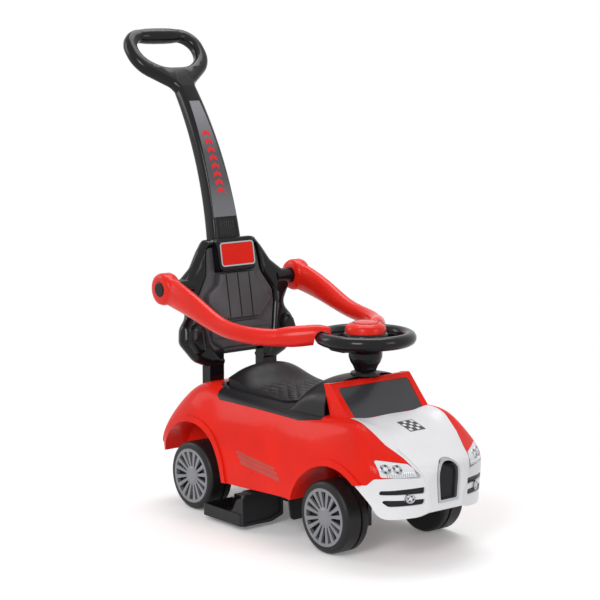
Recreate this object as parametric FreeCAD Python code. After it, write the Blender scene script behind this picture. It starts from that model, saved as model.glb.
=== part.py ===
"""Push car with handle: a ride-on toy car with steering, guard arms and a push handle.

Millimetres. +X is forward, +Y is the car's left, +Z is up. The origin is on the ground,
under the middle of the whole toy.
"""
import FreeCAD
import Part
import math
import os

V = FreeCAD.Vector
Y_AXIS = V(0, 1, 0)
Z_AXIS = V(0, 0, 1)

# Wheels and axles
rear_axle_x = -124.1
wheelbase = 385.0
tyre_radius = 64.0
tyre_width = 52.0
tyre_shoulder = 7.0
wheel_outer_y = 138.0
tread_groove_width = 4.5
tread_groove_depth = 4.0
tread_groove_from_outside = 33.0
hub_cap_radius = 51.0
hub_cap_depth = 9.0
hub_cap_rim = 5.0
hub_disc_radius = 13.0
spoke_pairs = 8
axle_radius = 5.0
axle_running_gap = 0.08
axle_nut_radius = 8.5
axle_nut_length = 5.0
front_axle_x = rear_axle_x + wheelbase

# Body shell
body_half_width = 138.0
body_wall = 3.0
rear_overhang = 113.0
front_overhang = 163.0
sill_z = 70.0
sill_rise = 10.0
deck_z = 237.0
cowl_z = 231.0
rear_arch_radius = 102.0
rear_well_inner_y = 77.0
front_arch_radius = 105.0
front_arch_forward = 18.0
front_arch_drop = 12.0
front_well_inner_y = 44.0
skirt_drop = 24.0
arch_lip_width = 11.0
arch_lip_height = 3.5
seam = 0.4

# Cockpit trim, dash and seat
cockpit_rear_x = rear_axle_x + 43.0
cockpit_front_x = front_axle_x - 42.0
cockpit_line_z = 215.0
dash_top_z = 291.0
dash_half_width = 100.0
seat_rear_x = rear_axle_x + 20.0
seat_front_x = rear_axle_x + 234.0
seat_half_width = 87.0
seat_floor_z = 224.5
seat_hump_z = 272.0
seat_front_z = 235.0
seat_wall = 4.0
seat_gap = 0.6
seat_rest_gap = 0.3
seat_rear_gap = 5.0
seat_turn_room = 1.5
seat_pin_radius = 3.0
seat_pin_half_length = 52.0
seat_hinge_in = 9.0
seat_hinge_up = 9.0
seat_lug_y = 36.0
seat_ear_y = 46.0
seat_ear_half = 4.5
seat_notch_radius = 10.0
bin_rear_x = rear_axle_x + 67.0
bin_front_x = rear_axle_x + 195.0
bin_half_width = 58.0
bin_floor_z = 96.0
bin_wall = 2.5

# Windscreen frame
screen_top_x = front_axle_x - 36.0
screen_top_z = 287.0
screen_foot_x = front_axle_x + 20.0
screen_foot_z = 227.0
screen_half_top = 93.0
screen_half_foot = 90.0
screen_border = 11.0
screen_recess = 3.0
cowl_top_depth = 16.0
cowl_foot_depth = 54.0
cowl_wall = 10.0
cowl_pillar = 9.0
cowl_bulge = 15.0

# Nose
grille_half_width = 26.0
grille_foot_z = 104.0
grille_top_z = 178.0
grille_ring = 4.5
grille_proud = 3.5
beak_proud = 2.0
nose_corner_radius = 20.0
lamp_inner_y = 60.0
lamp_outer_y = 115.0
lamp_low_z = 155.0
lamp_high_z = 178.0
fog_inner_y = 49.0
fog_outer_y = 118.0
fog_low_z = 104.0
fog_high_z = 136.0
fog_bar = 9.0
fog_slot_round = 3.0
fog_corner_round = 10.0
fog_corner_in = 12.0
fog_lamp_radius = 8.0
fog_lamp_in = 27.0
fog_lamp_proud = 2.0
backing_thickness = 2.5

# Floor and footrests
floor_z = 76.0
floor_thickness = 4.0
floor_rear_x = rear_axle_x - 70.0
floor_front_x = front_axle_x - 106.0
keel_half_width = 36.0
keel_low_z = 30.0
keel_wall = 3.0
keel_front_gap = 12.0
rear_block_inner_y = 50.0
rear_block_outer_y = 73.5
rear_block_half_length = 15.0
rear_block_low_z = 52.0
foot_rear_x = rear_axle_x + 68.0
foot_front_x = rear_axle_x + 184.0
foot_inner_y = 92.0
foot_board_inner_y = 66.0
foot_board_rise = 9.0
foot_frame = 6.0
foot_frame_proud = 2.5
foot_outer_y = 161.0
foot_low_z = 8.0
foot_wall = 4.0
foot_lip_z = 30.0
foot_board_z = 66.0
foot_tongue_z = 38.0
foot_tongue_end_y = 54.0
foot_travel = 45.0
foot_guide_gap = 0.5
splash_inner_y = 60.0
splash_outer_y = 128.0
splash_low_z = 34.0
splash_taper = 6.0
splash_round = 9.0
splash_wall = 3.5

# Steering
column_x = front_axle_x - 49.0
column_radius = 6.0
column_gap = 0.08
wheel_z = 357.0
rim_radius = 78.0
rim_tube = 12.0
rim_sides = 12
steer_hub_radius = 40.0
steer_hub_low_z = 331.0
steer_hub_high_z = 366.0
spoke_half_width = 15.0
spoke_low_z = 336.0
spoke_high_z = 347.0
boss_top_radius = 30.0
boss_foot_radius = 18.5
boss_foot_z = 297.0
boss_wall = 3.0
bush_radius = 26.0
bush_high_z = 295.0
horn_radius = 36.0
horn_high_z = 386.0
horn_travel = 2.5
horn_gap = 0.4
button_radius = 6.5
button_from_axis = 52.0
button_height = 4.0
button_travel = 1.5
steering_lock = 25.0
wheel_lock = 18.0
kingpin_y = 62.0
kingpin_radius = 4.0
knuckle_radius = 11.0
knuckle_low_z = 46.0
knuckle_high_z = 82.0
knuckle_arm = 42.0
knuckle_arm_half_width = 7.5
link_thickness = 5.0
link_gap = 0.4
link_pin_radius = 3.5
link_pin_gap = 0.8
housing_deck_z = 97.0
housing_deck = 4.0
housing_front_x = front_axle_x + 16.0
housing_half_width = 58.0
ear_thickness = 9.0
ear_gap = 0.4
ear_half_length = 14.0

# Backrest
back_foot_x = rear_axle_x - 12.0
back_foot_z = 275.0
back_lean = 10.0
back_height = 226.0
back_depth = 30.0
back_round = 13.0
back_pocket = 12.0
back_pocket_flare = 8.0
bolster_proud = 11.0
bolster_ease = 8.0
back_wall = 4.0
pad_thickness = 5.0
pad_cushion_rise = 13.0
pad_lumbar_rise = 6.0
pad_ease = 5.0
pad_groove = 3.0
cushion_pitch = 27.0
leg_inner_y = 47.0
leg_outer_y = 80.0
leg_depth = 24.0
leg_behind = 27.0
leg_socket_z = 196.0
leg_gap = 0.4
socket_half_width = 43.0
socket_length = 64.0
socket_proud = 12.0
socket_wall = 4.0
socket_round = 5.0
socket_corner = 9.0
badge_half_width = 37.0
badge_height = 40.0
badge_corner = 4.0
badge_thickness = 2.5
badge_recess = 1.5
bezel_width = 2.5
bezel_proud = 1.6

# Guard arms
pivot_x = rear_axle_x - 48.0
pivot_z = 413.0
pivot_radius = 8.0
pivot_gap = 0.08
pivot_boss_radius = 15.0
arm_head_radius = 30.0
arm_inner_y = 140.5
arm_outer_y = 171.0
arm_head_round = 7.0
arm_height = 31.0
arm_root_height = 55.0
arm_sides = 14
arm_width = 27.0
arm_collar_height = 37.0
arm_collar_width = 31.0
arm_cap_radius = 13.5
arm_cap_depth = 5.0
arm_notch_gap = 2.0
arm_lip_z = 352.0

# Push handle
handle_set_back = 26.0
handle_bend_radius = 652.0
handle_neck_lean = 37.0
handle_loop_lean = 41.5
handle_foot_width = 64.0
handle_neck_width = 40.0
handle_foot_depth = 32.0
handle_neck_depth = 27.0
handle_tongue_width = 50.0
handle_tongue_depth = 22.0
handle_tongue_length = 52.0
handle_gap = 0.5
panel_foot_width = 54.0
panel_neck_width = 25.0
panel_foot_lean = 13.5
panel_neck_lean = 34.0
panel_thickness = 2.5
loop_tube = 12.5
loop_half_width = 78.0
loop_bar = 134.0
loop_side = 62.0
loop_foot_half = 19.0
loop_foot_overlap = 10.0
loop_hole_foot = 50.0
loop_hole_foot_half = 30.0
grip_bulge = 15.5
grip_half_length = 47.0

body_rear_x = rear_axle_x - rear_overhang
body_front_x = front_axle_x + front_overhang
loft_store = {}
crank_length = knuckle_arm * math.sin(math.radians(wheel_lock)) / math.sin(math.radians(steering_lock))


# Geometry helpers

def box(x0, x1, y0, y1, z0, z1):
    return Part.makeBox(x1 - x0, y1 - y0, z1 - z0, V(x0, y0, z0))


def rod(radius, start, end):
    return Part.makeCylinder(radius, (end - start).Length, start, end - start)


def mirrored(shape):
    return shape.mirror(V(0, 0, 0), Y_AXIS)


def both_sides(shape):
    return [shape, mirrored(shape)]


def rounded_wire(corners, place):
    """Closed outline of straight runs and tangent arcs; corners are (a, b, radius)."""
    flat = [V(a, b, 0) for a, b, r in corners]
    edges = []
    joints = []
    count = len(corners)
    for i in range(count):
        here = flat[i]
        back = (flat[i - 1] - here).normalize()
        ahead = (flat[(i + 1) % count] - here).normalize()
        radius = corners[i][2]
        if radius <= 0:
            joints.append((here, None, here))
            continue
        half = back.getAngle(ahead) / 2
        reach = radius / math.tan(half)
        bisector = (back + ahead).normalize()
        middle = here + bisector * (radius / math.sin(half) - radius)
        joints.append((here + back * reach, middle, here + ahead * reach))
    for i in range(count):
        start, middle, end = joints[i]
        if middle is not None:
            edges.append(Part.Arc(place(start), place(middle), place(end)).toShape())
        following = joints[(i + 1) % count][0]
        if (following - end).Length > 1e-6:
            edges.append(Part.makeLine(place(end), place(following)))
    return Part.Wire(edges)


def side_prism(corners, y0, y1):
    """Outline in X and Z, extruded across the car."""
    wire = rounded_wire(corners, lambda p: V(p.x, y0, p.y))
    return Part.Face(wire).extrude(V(0, y1 - y0, 0))


def front_prism(corners, x0, x1):
    """Outline in Y and Z, extruded along the car."""
    wire = rounded_wire(corners, lambda p: V(x0, p.x, p.y))
    return Part.Face(wire).extrude(V(x1 - x0, 0, 0))


def plan_prism(corners, z0, z1):
    """Outline in X and Y, extruded upward."""
    wire = rounded_wire(corners, lambda p: V(p.x, p.y, z0))
    return Part.Face(wire).extrude(V(0, 0, z1 - z0))


def contour_wire(x, contour, shares):
    """Closed cross section: a smooth curve over the top and a straight line underneath."""
    points = [V(x, y, z) for y, z in contour]
    curve = Part.BSplineCurve()
    curve.interpolate(Points=points, Parameters=shares)
    return Part.Wire([curve.toShape(), Part.makeLine(points[-1], points[0])])


def smooth_loft(wires):
    """Solid through cross sections, without waves between them."""
    return Part.makeLoft(wires, True, False, False, 3)


def mix(a, b, share):
    return a + (b - a) * share


def sharp(points):
    return [(a, b, 0) for a, b in points]


def mirror_outline(half):
    """Complete a half outline given from bottom to top on the +Y side."""
    return half + [(-y, z, r) for y, z, r in reversed(half)]


def turned(profile, axis_point, axis, degrees=360):
    return profile.revolve(axis_point, axis, degrees)


def ring_profile(points, axis_x, axis_y):
    """Face in a vertical plane through a vertical axis; points are (radius, z)."""
    wire = Part.makePolygon([V(axis_x + r, axis_y, z) for r, z in points + points[:1]])
    return Part.Face(wire)


def save(name, shape):
    solids = shape.Solids
    for solid in solids:
        if not solid.isValid():
            raise RuntimeError(name + " has a solid that is not valid")
    whole = solids[0] if len(solids) == 1 else Part.makeCompound(solids)
    whole.exportStep("parts/" + name + ".step")
    print(name, len(solids), round(sum(s.Volume for s in solids) / 1000, 2))


# Body shell lofted through cross sections

class Station:
    """One cross section of the body, given by its half contour and how its face leans."""

    def __init__(self, x, lean, low, side, shoulder, mid, crown):
        self.x = x
        self.lean = lean
        self.low = low
        self.side = side
        self.shoulder = shoulder
        self.mid = mid
        self.crown = crown

    def wire(self, grow):
        half = [
            (self.low[0] + grow, self.low[1] - skirt_drop + grow),
            (self.side[0] + grow, self.side[1]),
            (self.shoulder[0] + 0.7 * grow, self.shoulder[1] + 0.7 * grow),
            (self.mid[0], self.mid[1] + grow),
        ]
        contour = [(-y, z) for y, z in half] + [(0, self.crown + grow)] + list(reversed(half))
        x = self.x + self.lean * grow
        return contour_wire(x, contour, [0.0, 0.16, 0.3, 0.4, 0.5, 0.6, 0.7, 0.84, 1.0])


def body_stations():
    w = body_half_width
    ra = rear_axle_x
    fa = front_axle_x
    low = sill_z
    rise = sill_rise
    return [
        Station(body_rear_x, -1.0, (w - 24, 96), (w - 20, 104), (w - 28, 117), (60, 122), 124),
        Station(ra - 100, -0.9, (w - 15, 94), (w - 14, 120), (w - 27, 147), (62, 155), 158),
        Station(ra - 80, -0.7, (w - 9, 92), (w - 9, 135), (w - 30, 178), (62, 188), 191),
        Station(ra - 52, -0.4, (w - 4, 90), (w - 5, 148), (w - 32, 206), (62, 216), 219),
        Station(ra - 10, -0.1, (w - 1, low), (w - 1, 150), (w - 32, deck_z - 9), (62, deck_z - 2), deck_z),
        Station(ra + 50, 0, (w - 1, low), (w, 140), (w - 28, 220), (72, cowl_z + 3), cowl_z + 7),
        Station(ra + 157, 0, (w - 3, low + 0.3 * rise), (w, 132), (w - 25, 215), (76, cowl_z), cowl_z + 4),
        Station(ra + 270, 0, (w - 3, low + 0.9 * rise), (w, 132), (w - 25, 215), (76, cowl_z), cowl_z + 4),
        Station(fa - 40, 0, (w - 2, low + rise), (w + 1, 140), (w - 28, 223), (70, cowl_z), cowl_z + 2),
        Station(fa + 15, 0, (w - 1, low + rise), (w + 1, 148), (w - 34, 230), (60, cowl_z), cowl_z),
        Station(fa + 55, 0.2, (w - 1, low + rise), (w, 148), (w - 34, 225), (60, 223), 222),
        Station(fa + 90, 0.4, (w - 4, low + rise), (w - 3, 143), (w - 28, 199), (58, 209), 211),
        Station(fa + 115, 0.6, (w - 16, low + rise + 2), (w - 14, 136), (w - 29, 178), (56, 195), 198),
        Station(fa + 140, 0.8, (w - 45, low + rise + 2), (w - 40, 126), (w - 52, 164), (52, 178), 182),
        Station(fa + 155, 0.9, (w - 76, low + rise + 4), (w - 71, 122), (w - 80, 159), (36, 169), 172),
        Station(body_front_x, 1.0, (w - 98, low + rise + 12), (w - 95, 122), (w - 103, 151), (20, 158),
                160),
    ]


def body_loft(grow):
    """Whole body with its skirt carried on below the real lower edge."""
    if grow not in loft_store:
        wires = [station.wire(grow) for station in body_stations()]
        loft_store[grow] = Part.makeLoft(wires, True, False)
    return loft_store[grow]


def under_region():
    """Everything below the lower edge of the body, seen from the side."""
    far = 2 * body_half_width
    edge = [(station.x, station.low[1]) for station in body_stations()]
    first = edge[0]
    last = edge[-1]
    outline = [(first[0] - 60, first[1])] + edge + [(last[0] + 60, last[1]), (last[0] + 60, -far),
                                                    (first[0] - 60, -far)]
    return side_prism(sharp(outline), -far, far)


def arch(radius, x, z, inner_y):
    """Round clearance for the wheels of one axle, on both sides of the car."""
    far = 2 * body_half_width
    right = rod(radius, V(x, -far, z), V(x, -inner_y, z))
    return right.fuse(mirrored(right))


def rear_arch(grow, inner_grow=0):
    return arch(rear_arch_radius + grow, rear_axle_x, tyre_radius, rear_well_inner_y - inner_grow)


def front_arch(grow, inner_grow=0):
    return arch(front_arch_radius + grow, front_axle_x + front_arch_forward,
                tyre_radius - front_arch_drop, front_well_inner_y - inner_grow)


def cockpit_region(grow):
    """Everything above the black trim's lower line."""
    far = 2 * body_half_width
    top = 2 * deck_z
    line = cockpit_line_z - grow
    rear = cockpit_rear_x - grow
    front = cockpit_front_x + grow
    return side_prism([
        (rear - 14, top, 0),
        (rear - 14, deck_z + 12, 0),
        (rear + 8, line, 22),
        (rear + 130, line + 1, 60),
        (front - 55, line, 60),
        (front, line + 10, 0),
        (front - 60, top, 0),
    ], -far, far)


def hood_region(grow):
    """The white bonnet seen from above."""
    fa = front_axle_x
    half = [
        (screen_foot_x - 4 - grow, screen_half_foot + grow),
        (fa + 60, 90 + grow),
        (fa + 98, 83 + grow),
        (fa + 128, 70 + grow),
        (fa + 200, 50 + grow),
    ]
    outline = half + [(x, -y) for x, y in reversed(half)]
    return plan_prism(sharp(outline), lamp_low_z - 8, 2 * deck_z)


def bumper_region(grow):
    """The white lower nose seen from the side."""
    far = 2 * body_half_width
    fa = front_axle_x
    return side_prism([
        (fa + 78 - grow, 136 + grow, 0),
        (fa + 104, 140 + grow, 8),
        (fa + 116, lamp_low_z - 3 + grow, 8),
        (fa + 240, lamp_low_z + 4 + grow, 0),
        (fa + 240, sill_z - 40, 0),
        (fa + 78 - grow, sill_z - 40, 0),
    ], -far, far)


def lamp_region(grow):
    """Both headlamp windows seen from the front."""
    right = front_prism([
        (-lamp_inner_y + 8 + grow, lamp_low_z - 4 - grow, 3),
        (-lamp_inner_y - 10 + grow, lamp_high_z - 4 + grow, 6),
        (-lamp_outer_y - 2 - grow, lamp_high_z + 4 + grow, 4),
        (-lamp_outer_y - 2 - grow, lamp_low_z - grow, 3),
    ], front_axle_x + 96 - grow, body_front_x + 40)
    return right.fuse(mirrored(right))


def fog_region(grow):
    """Both fog lamp openings seen from the front."""
    right = front_prism([
        (-fog_inner_y + grow, fog_low_z + 3 - grow, 4),
        (-fog_inner_y + grow, fog_high_z + grow, 4),
        (-fog_outer_y - grow, fog_high_z - 4 + grow, 4),
        (-fog_outer_y - grow, fog_low_z + fog_corner_in - grow, 6),
        (-fog_outer_y + fog_corner_in - grow, fog_low_z - grow, 8),
    ], front_axle_x + 70, body_front_x + 40)
    return right.fuse(mirrored(right))


def fog_slots():
    """Upper and lower slot of each fog lamp opening, with a bar left between them."""
    bar_low = (fog_low_z + fog_high_z - fog_bar) / 2
    bar_high = bar_low + fog_bar
    start = front_axle_x + 70
    end = body_front_x + 40
    upper = front_prism([
        (-fog_inner_y, bar_high, fog_slot_round),
        (-fog_inner_y, fog_high_z, fog_slot_round),
        (-fog_outer_y, fog_high_z - 4, fog_slot_round),
        (-fog_outer_y, bar_high, fog_slot_round),
    ], start, end)
    lower = front_prism([
        (-fog_inner_y, fog_low_z + 2, fog_slot_round + 2),
        (-fog_inner_y, bar_low, fog_slot_round),
        (-fog_outer_y, bar_low, fog_slot_round),
        (-fog_outer_y + fog_corner_in, fog_low_z, fog_corner_round),
    ], start, end)
    right = upper.fuse(lower)
    return right.fuse(mirrored(right))


def grille_region(grow):
    half = grille_half_width + grow
    return front_prism(mirror_outline([
        (half - 3, grille_foot_z - grow, 3),
        (half, grille_top_z - 34, 30),
        (half - 1, grille_top_z + grow, half - 1.5),
    ]), front_axle_x + 100, body_front_x + 40)


class Skin:
    """The moulded outer shapes that several body pieces are cut from."""

    def __init__(self):
        under = under_region()
        self.outer = body_loft(0).cut(under)
        self.inner = body_loft(-body_wall)
        self.proud = body_loft(arch_lip_height).cut(under)
        self.beak = body_loft(beak_proud).cut(under)
        self.shell = self.outer.cut(self.inner)
        self.backing = body_loft(-body_wall - seam).cut(body_loft(-body_wall - seam - backing_thickness))


def make_body_shell(skin):
    wells = rear_arch(body_wall, body_wall).fuse(front_arch(body_wall, body_wall))
    body = skin.shell.fuse(skin.outer.common(wells))
    lips = skin.proud.cut(skin.inner)
    lip_rings = rear_arch(arch_lip_width).fuse(front_arch(arch_lip_width))
    lip_bands = lips.common(lip_rings)
    side_band = box(body_rear_x - 50, body_front_x, -2 * body_half_width, 2 * body_half_width,
                    sill_z - 5, tyre_radius + rear_arch_radius + arch_lip_width)
    body = body.fuse(lip_bands.common(side_band))
    body = body.cut(rear_arch(0)).cut(front_arch(0))
    body = body.cut(cockpit_region(seam))
    nose = hood_region(seam).fuse(bumper_region(seam)).fuse(lamp_region(seam))
    body = body.cut(nose)
    body = body.fuse(make_cowl())
    body = body.cut(screen_prism(screen_border, -screen_recess, 20))
    body = body.fuse(make_leg_sockets(skin))
    body = body.cut(column_hole(column_radius + 2)).cut(housing_room())
    body = body.cut(plan_prism(seat_outline(seat_rear_gap + seat_wall + seam),
                               seat_floor_z - seat_wall - seam,
                               2 * deck_z))
    for leg in leg_solids(leg_gap):
        body = body.cut(leg)
    return body.removeSplitter()


def screen_plane(y, along, lift):
    """Point on the windscreen: y across, along from foot to top, lift out of the plane."""
    foot = V(screen_foot_x, 0, screen_foot_z)
    top = V(screen_top_x, 0, screen_top_z)
    up = (top - foot).normalize()
    out = V(up.z, 0, -up.x)
    return foot + up * along + out * lift + V(0, y, 0)


def screen_length():
    return (V(screen_top_x, 0, screen_top_z) - V(screen_foot_x, 0, screen_foot_z)).Length


def screen_prism(border, low, high):
    length = screen_length()
    half = [
        (screen_half_foot - border, border * 0.4, 3),
        (screen_half_top - border, length - border, 8),
    ]
    wire = rounded_wire(mirror_outline(half), lambda p: screen_plane(p.x, p.y, low))
    out = screen_plane(0, 0, 1) - screen_plane(0, 0, 0)
    return Part.Face(wire).extrude(out * (high - low))


def cowl_outline(grow):
    rear_top = screen_top_x - cowl_top_depth
    rear_foot = screen_foot_x - cowl_foot_depth
    return [
        (rear_top - grow, screen_top_z - 2 + grow, 0),
        (screen_top_x + grow, screen_top_z + grow, 5),
        (screen_foot_x + 1.4 * grow, screen_foot_z, 0),
        (screen_foot_x + 1.4 * grow, screen_foot_z - 20, 0),
        (rear_foot - grow, screen_foot_z - 20, 0),
        (rear_foot - grow, screen_foot_z, 0),
    ]


def make_cowl():
    """Red windscreen frame: sloped front plate with two pillars, open behind."""
    half = screen_half_top
    whole = side_prism(cowl_outline(0), -half, half)
    far = 4 * cowl_foot_depth
    hollow = side_prism(sharp([
        (screen_top_x - cowl_wall, screen_top_z),
        (screen_foot_x - cowl_wall, screen_foot_z),
        (screen_foot_x - cowl_wall, 0),
        (screen_top_x - far, 0),
        (screen_top_x - far, screen_top_z),
    ]), -half + cowl_pillar, half - cowl_pillar)
    cowl = whole.cut(hollow)
    bulge = rod(cowl_bulge, V(column_x, 0, screen_top_z - 22), V(column_x, 0, screen_top_z - 1))
    behind = side_prism(sharp([
        (screen_top_x - cowl_top_depth, screen_top_z),
        (screen_foot_x - cowl_foot_depth, screen_foot_z),
        (screen_top_x - far, screen_foot_z),
        (screen_top_x - far, screen_top_z),
    ]), -half, half)
    return cowl.fuse(bulge.cut(behind))


def housing_room():
    """Space in the wheel wells for the front axle carrier."""
    half = housing_half_width + seam
    return box(floor_front_x - 12 - seam, housing_front_x + seam, -half, half, 0,
               housing_deck_z + housing_deck + seam)


def make_windscreen():
    return screen_prism(screen_border + seam, -screen_recess, -screen_recess + 2.2)


def column_hole(radius):
    return rod(radius, V(column_x, 0, cockpit_line_z - 30), V(column_x, 0, dash_top_z + 20))


def beak_region():
    """Raised middle of the nose seen from the front."""
    half = grille_half_width
    return front_prism(mirror_outline([
        (half + 6, sill_z, 0),
        (half + 9, grille_foot_z + 6, 12),
        (half + 30, lamp_low_z + 6, 30),
        (half + 46, lamp_high_z + 24, 0),
    ]), front_axle_x + 112, body_front_x + 40)


def nose_corner():
    """Offcut that rounds the bumper's lower corner ahead of each front wheel."""
    arch_x = front_axle_x + front_arch_forward
    arch_z = tyre_radius - front_arch_drop
    r = nose_corner_radius
    z = sill_z + sill_rise + 2 + r
    reach = front_arch_radius + r
    x = arch_x + math.sqrt(reach ** 2 - (z - arch_z) ** 2)
    touch_z = mix(arch_z, z, front_arch_radius / reach)
    far = 2 * body_half_width
    return box(x - r, x, -far, far, arch_z, touch_z).cut(rod(r, V(x, -far, z), V(x, far, z)))


def make_fascia(skin):
    """White bonnet and bumper, one moulding around the grille and fog lamps."""
    region = hood_region(0).fuse(bumper_region(0))
    nose = skin.shell.common(region)
    nose = nose.fuse(skin.beak.cut(skin.inner).common(beak_region()).common(region))
    nose = nose.cut(lamp_region(seam))
    nose = nose.cut(front_arch(0))
    nose = nose.cut(grille_region(0))
    nose = nose.cut(fog_slots()).cut(nose_corner())
    for lamp in fog_lamp_cylinders(seam):
        nose = nose.cut(lamp)
    clear_of_cowl = side_prism(cowl_outline(seam), -screen_half_top - seam, screen_half_top + seam)
    nose = nose.cut(clear_of_cowl)
    return nose.removeSplitter()


def fog_lamp_cylinders(grow):
    y = fog_inner_y + fog_lamp_in
    z = (fog_low_z + fog_high_z) / 2 - 2
    start = V(body_front_x - 60, -y, z)
    end = V(body_front_x + 2, -y, z)
    return both_sides(rod(fog_lamp_radius + grow, start, end))


def make_fog_lamps():
    layer = body_loft(fog_lamp_proud).cut(body_loft(-body_wall - seam - backing_thickness))
    return [layer.common(lamp) for lamp in fog_lamp_cylinders(0)]


def make_fog_grilles(skin):
    plates = skin.backing.common(fog_region(5))
    for lamp in fog_lamp_cylinders(seam):
        plates = plates.cut(lamp)
    return sorted(plates.Solids, key=lambda s: s.CenterOfMass.y)


def make_lamp_lenses(skin):
    lenses = skin.shell.common(lamp_region(0)).cut(hood_region(seam)).cut(bumper_region(seam))
    return sorted([s for s in lenses.Solids if s.Volume > 500], key=lambda s: s.CenterOfMass.y)


def make_lamp_bowls(skin):
    bowls = skin.backing.common(lamp_region(4))
    return sorted([s for s in bowls.Solids if s.Volume > 500], key=lambda s: s.CenterOfMass.y)


def make_grille_surround():
    layer = body_loft(grille_proud).cut(body_loft(-body_wall))
    return layer.common(grille_region(-seam).cut(grille_region(-grille_ring)))


def make_grille_insert(skin):
    return skin.backing.common(grille_region(3))


def make_seat_surround(skin):
    """Black cockpit trim: skirt, seat pocket and dash in one moulding."""
    trim = skin.shell.common(cockpit_region(0))
    well = plan_prism(seat_outline(seat_rear_gap + seat_wall), seat_floor_z - seat_wall, deck_z + 30)
    trim = trim.fuse(skin.outer.common(well))
    trim = trim.cut(seat_pocket())
    trim = trim.fuse(make_dash())
    trim = trim.cut(box(bin_rear_x, bin_front_x, -bin_half_width, bin_half_width, 0, deck_z))
    cowl = side_prism(cowl_outline(seam), -screen_half_top - seam, screen_half_top + seam)
    trim = trim.cut(cowl).cut(column_hole(cowl_bulge + seam))
    trim = trim.cut(rod(bush_radius + seam, V(column_x, 0, dash_top_z), V(column_x, 0, 2 * dash_top_z)))
    for ear in both_sides(seat_ear()):
        trim = trim.fuse(ear)
    trim = trim.cut(seat_pin_rod(0))
    solids = sorted(trim.Solids, key=lambda s: s.Volume)
    return solids[-1]


def dash_loft(grow):
    """Rounded cover that rises from the seat to the steering column."""
    foot = cockpit_line_z - 15
    start = seat_front_x + 5
    rise = dash_top_z - seat_front_z
    stations = [
        (start - grow, seat_front_z),
        (start + 18 - grow, seat_front_z + 0.38 * rise),
        (start + 40 - grow, seat_front_z + 0.78 * rise),
        (start + 62, seat_front_z + 0.97 * rise),
        (column_x + 20, dash_top_z),
    ]
    half = dash_half_width + grow
    wires = []
    for x, crown in stations:
        top = crown + grow
        tall = top - foot
        right = [(half, foot), (half, foot + 0.42 * tall), (half - 10, foot + 0.74 * tall),
                 (half * 0.52, top - 4)]
        contour = [(-y, z) for y, z in right] + [(0, top)] + list(reversed(right))
        wires.append(contour_wire(x, contour, [0.0, 0.14, 0.28, 0.4, 0.5, 0.6, 0.72, 0.86, 1.0]))
    return smooth_loft(wires)


def make_dash():
    dash = dash_loft(0).cut(dash_loft(-body_wall))
    floor = box(seat_rear_x, screen_foot_x, -body_half_width, body_half_width, 0, cockpit_line_z - 4)
    beyond = side_prism(cowl_outline(seam), -body_half_width, body_half_width)
    ahead = box(cockpit_front_x - 1, screen_foot_x, -body_half_width, body_half_width, 0, 2 * deck_z)
    return dash.cut(floor).cut(beyond).cut(ahead)


def seat_outline(grow):
    rear = seat_rear_x - grow
    front = seat_front_x + grow
    half = seat_half_width + grow
    right = [(rear, -half + 8, 34), (front, -half + 4, 30)]
    left = [(front, half - 4, 30), (rear, half - 8, 34)]
    return right + left


def seat_pocket():
    """Recess for the lid, with room behind for its rear edge to turn down."""
    rest = plan_prism(seat_outline(seat_gap), seat_floor_z, 2 * deck_z)
    return rest.fuse(rest.translated(V(-seat_rear_gap - seat_turn_room, 0, 0)))


def seat_pin_rod(grow):
    x = seat_rear_x + seat_hinge_in
    z = seat_floor_z + seat_hinge_up
    end = seat_pin_half_length + grow
    return rod(seat_pin_radius + grow, V(x, -end, z), V(x, end, z))


def seat_across(radius, y0, y1):
    """Round bar along the seat hinge."""
    x = seat_rear_x + seat_hinge_in
    z = seat_floor_z + seat_hinge_up
    return rod(radius, V(x, y0, z), V(x, y1, z))


def seat_ear():
    """Upright ear of the pocket that holds one end of the hinge pin."""
    x = seat_rear_x + seat_hinge_in
    z = seat_floor_z + seat_hinge_up
    r = seat_pin_radius + 2
    y0 = seat_ear_y - seat_ear_half
    y1 = seat_ear_y + seat_ear_half
    stem = r - seat_gap
    return box(x - stem, x + stem, y0, y1, seat_floor_z - 1, z).fuse(seat_across(r, y0, y1))


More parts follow.
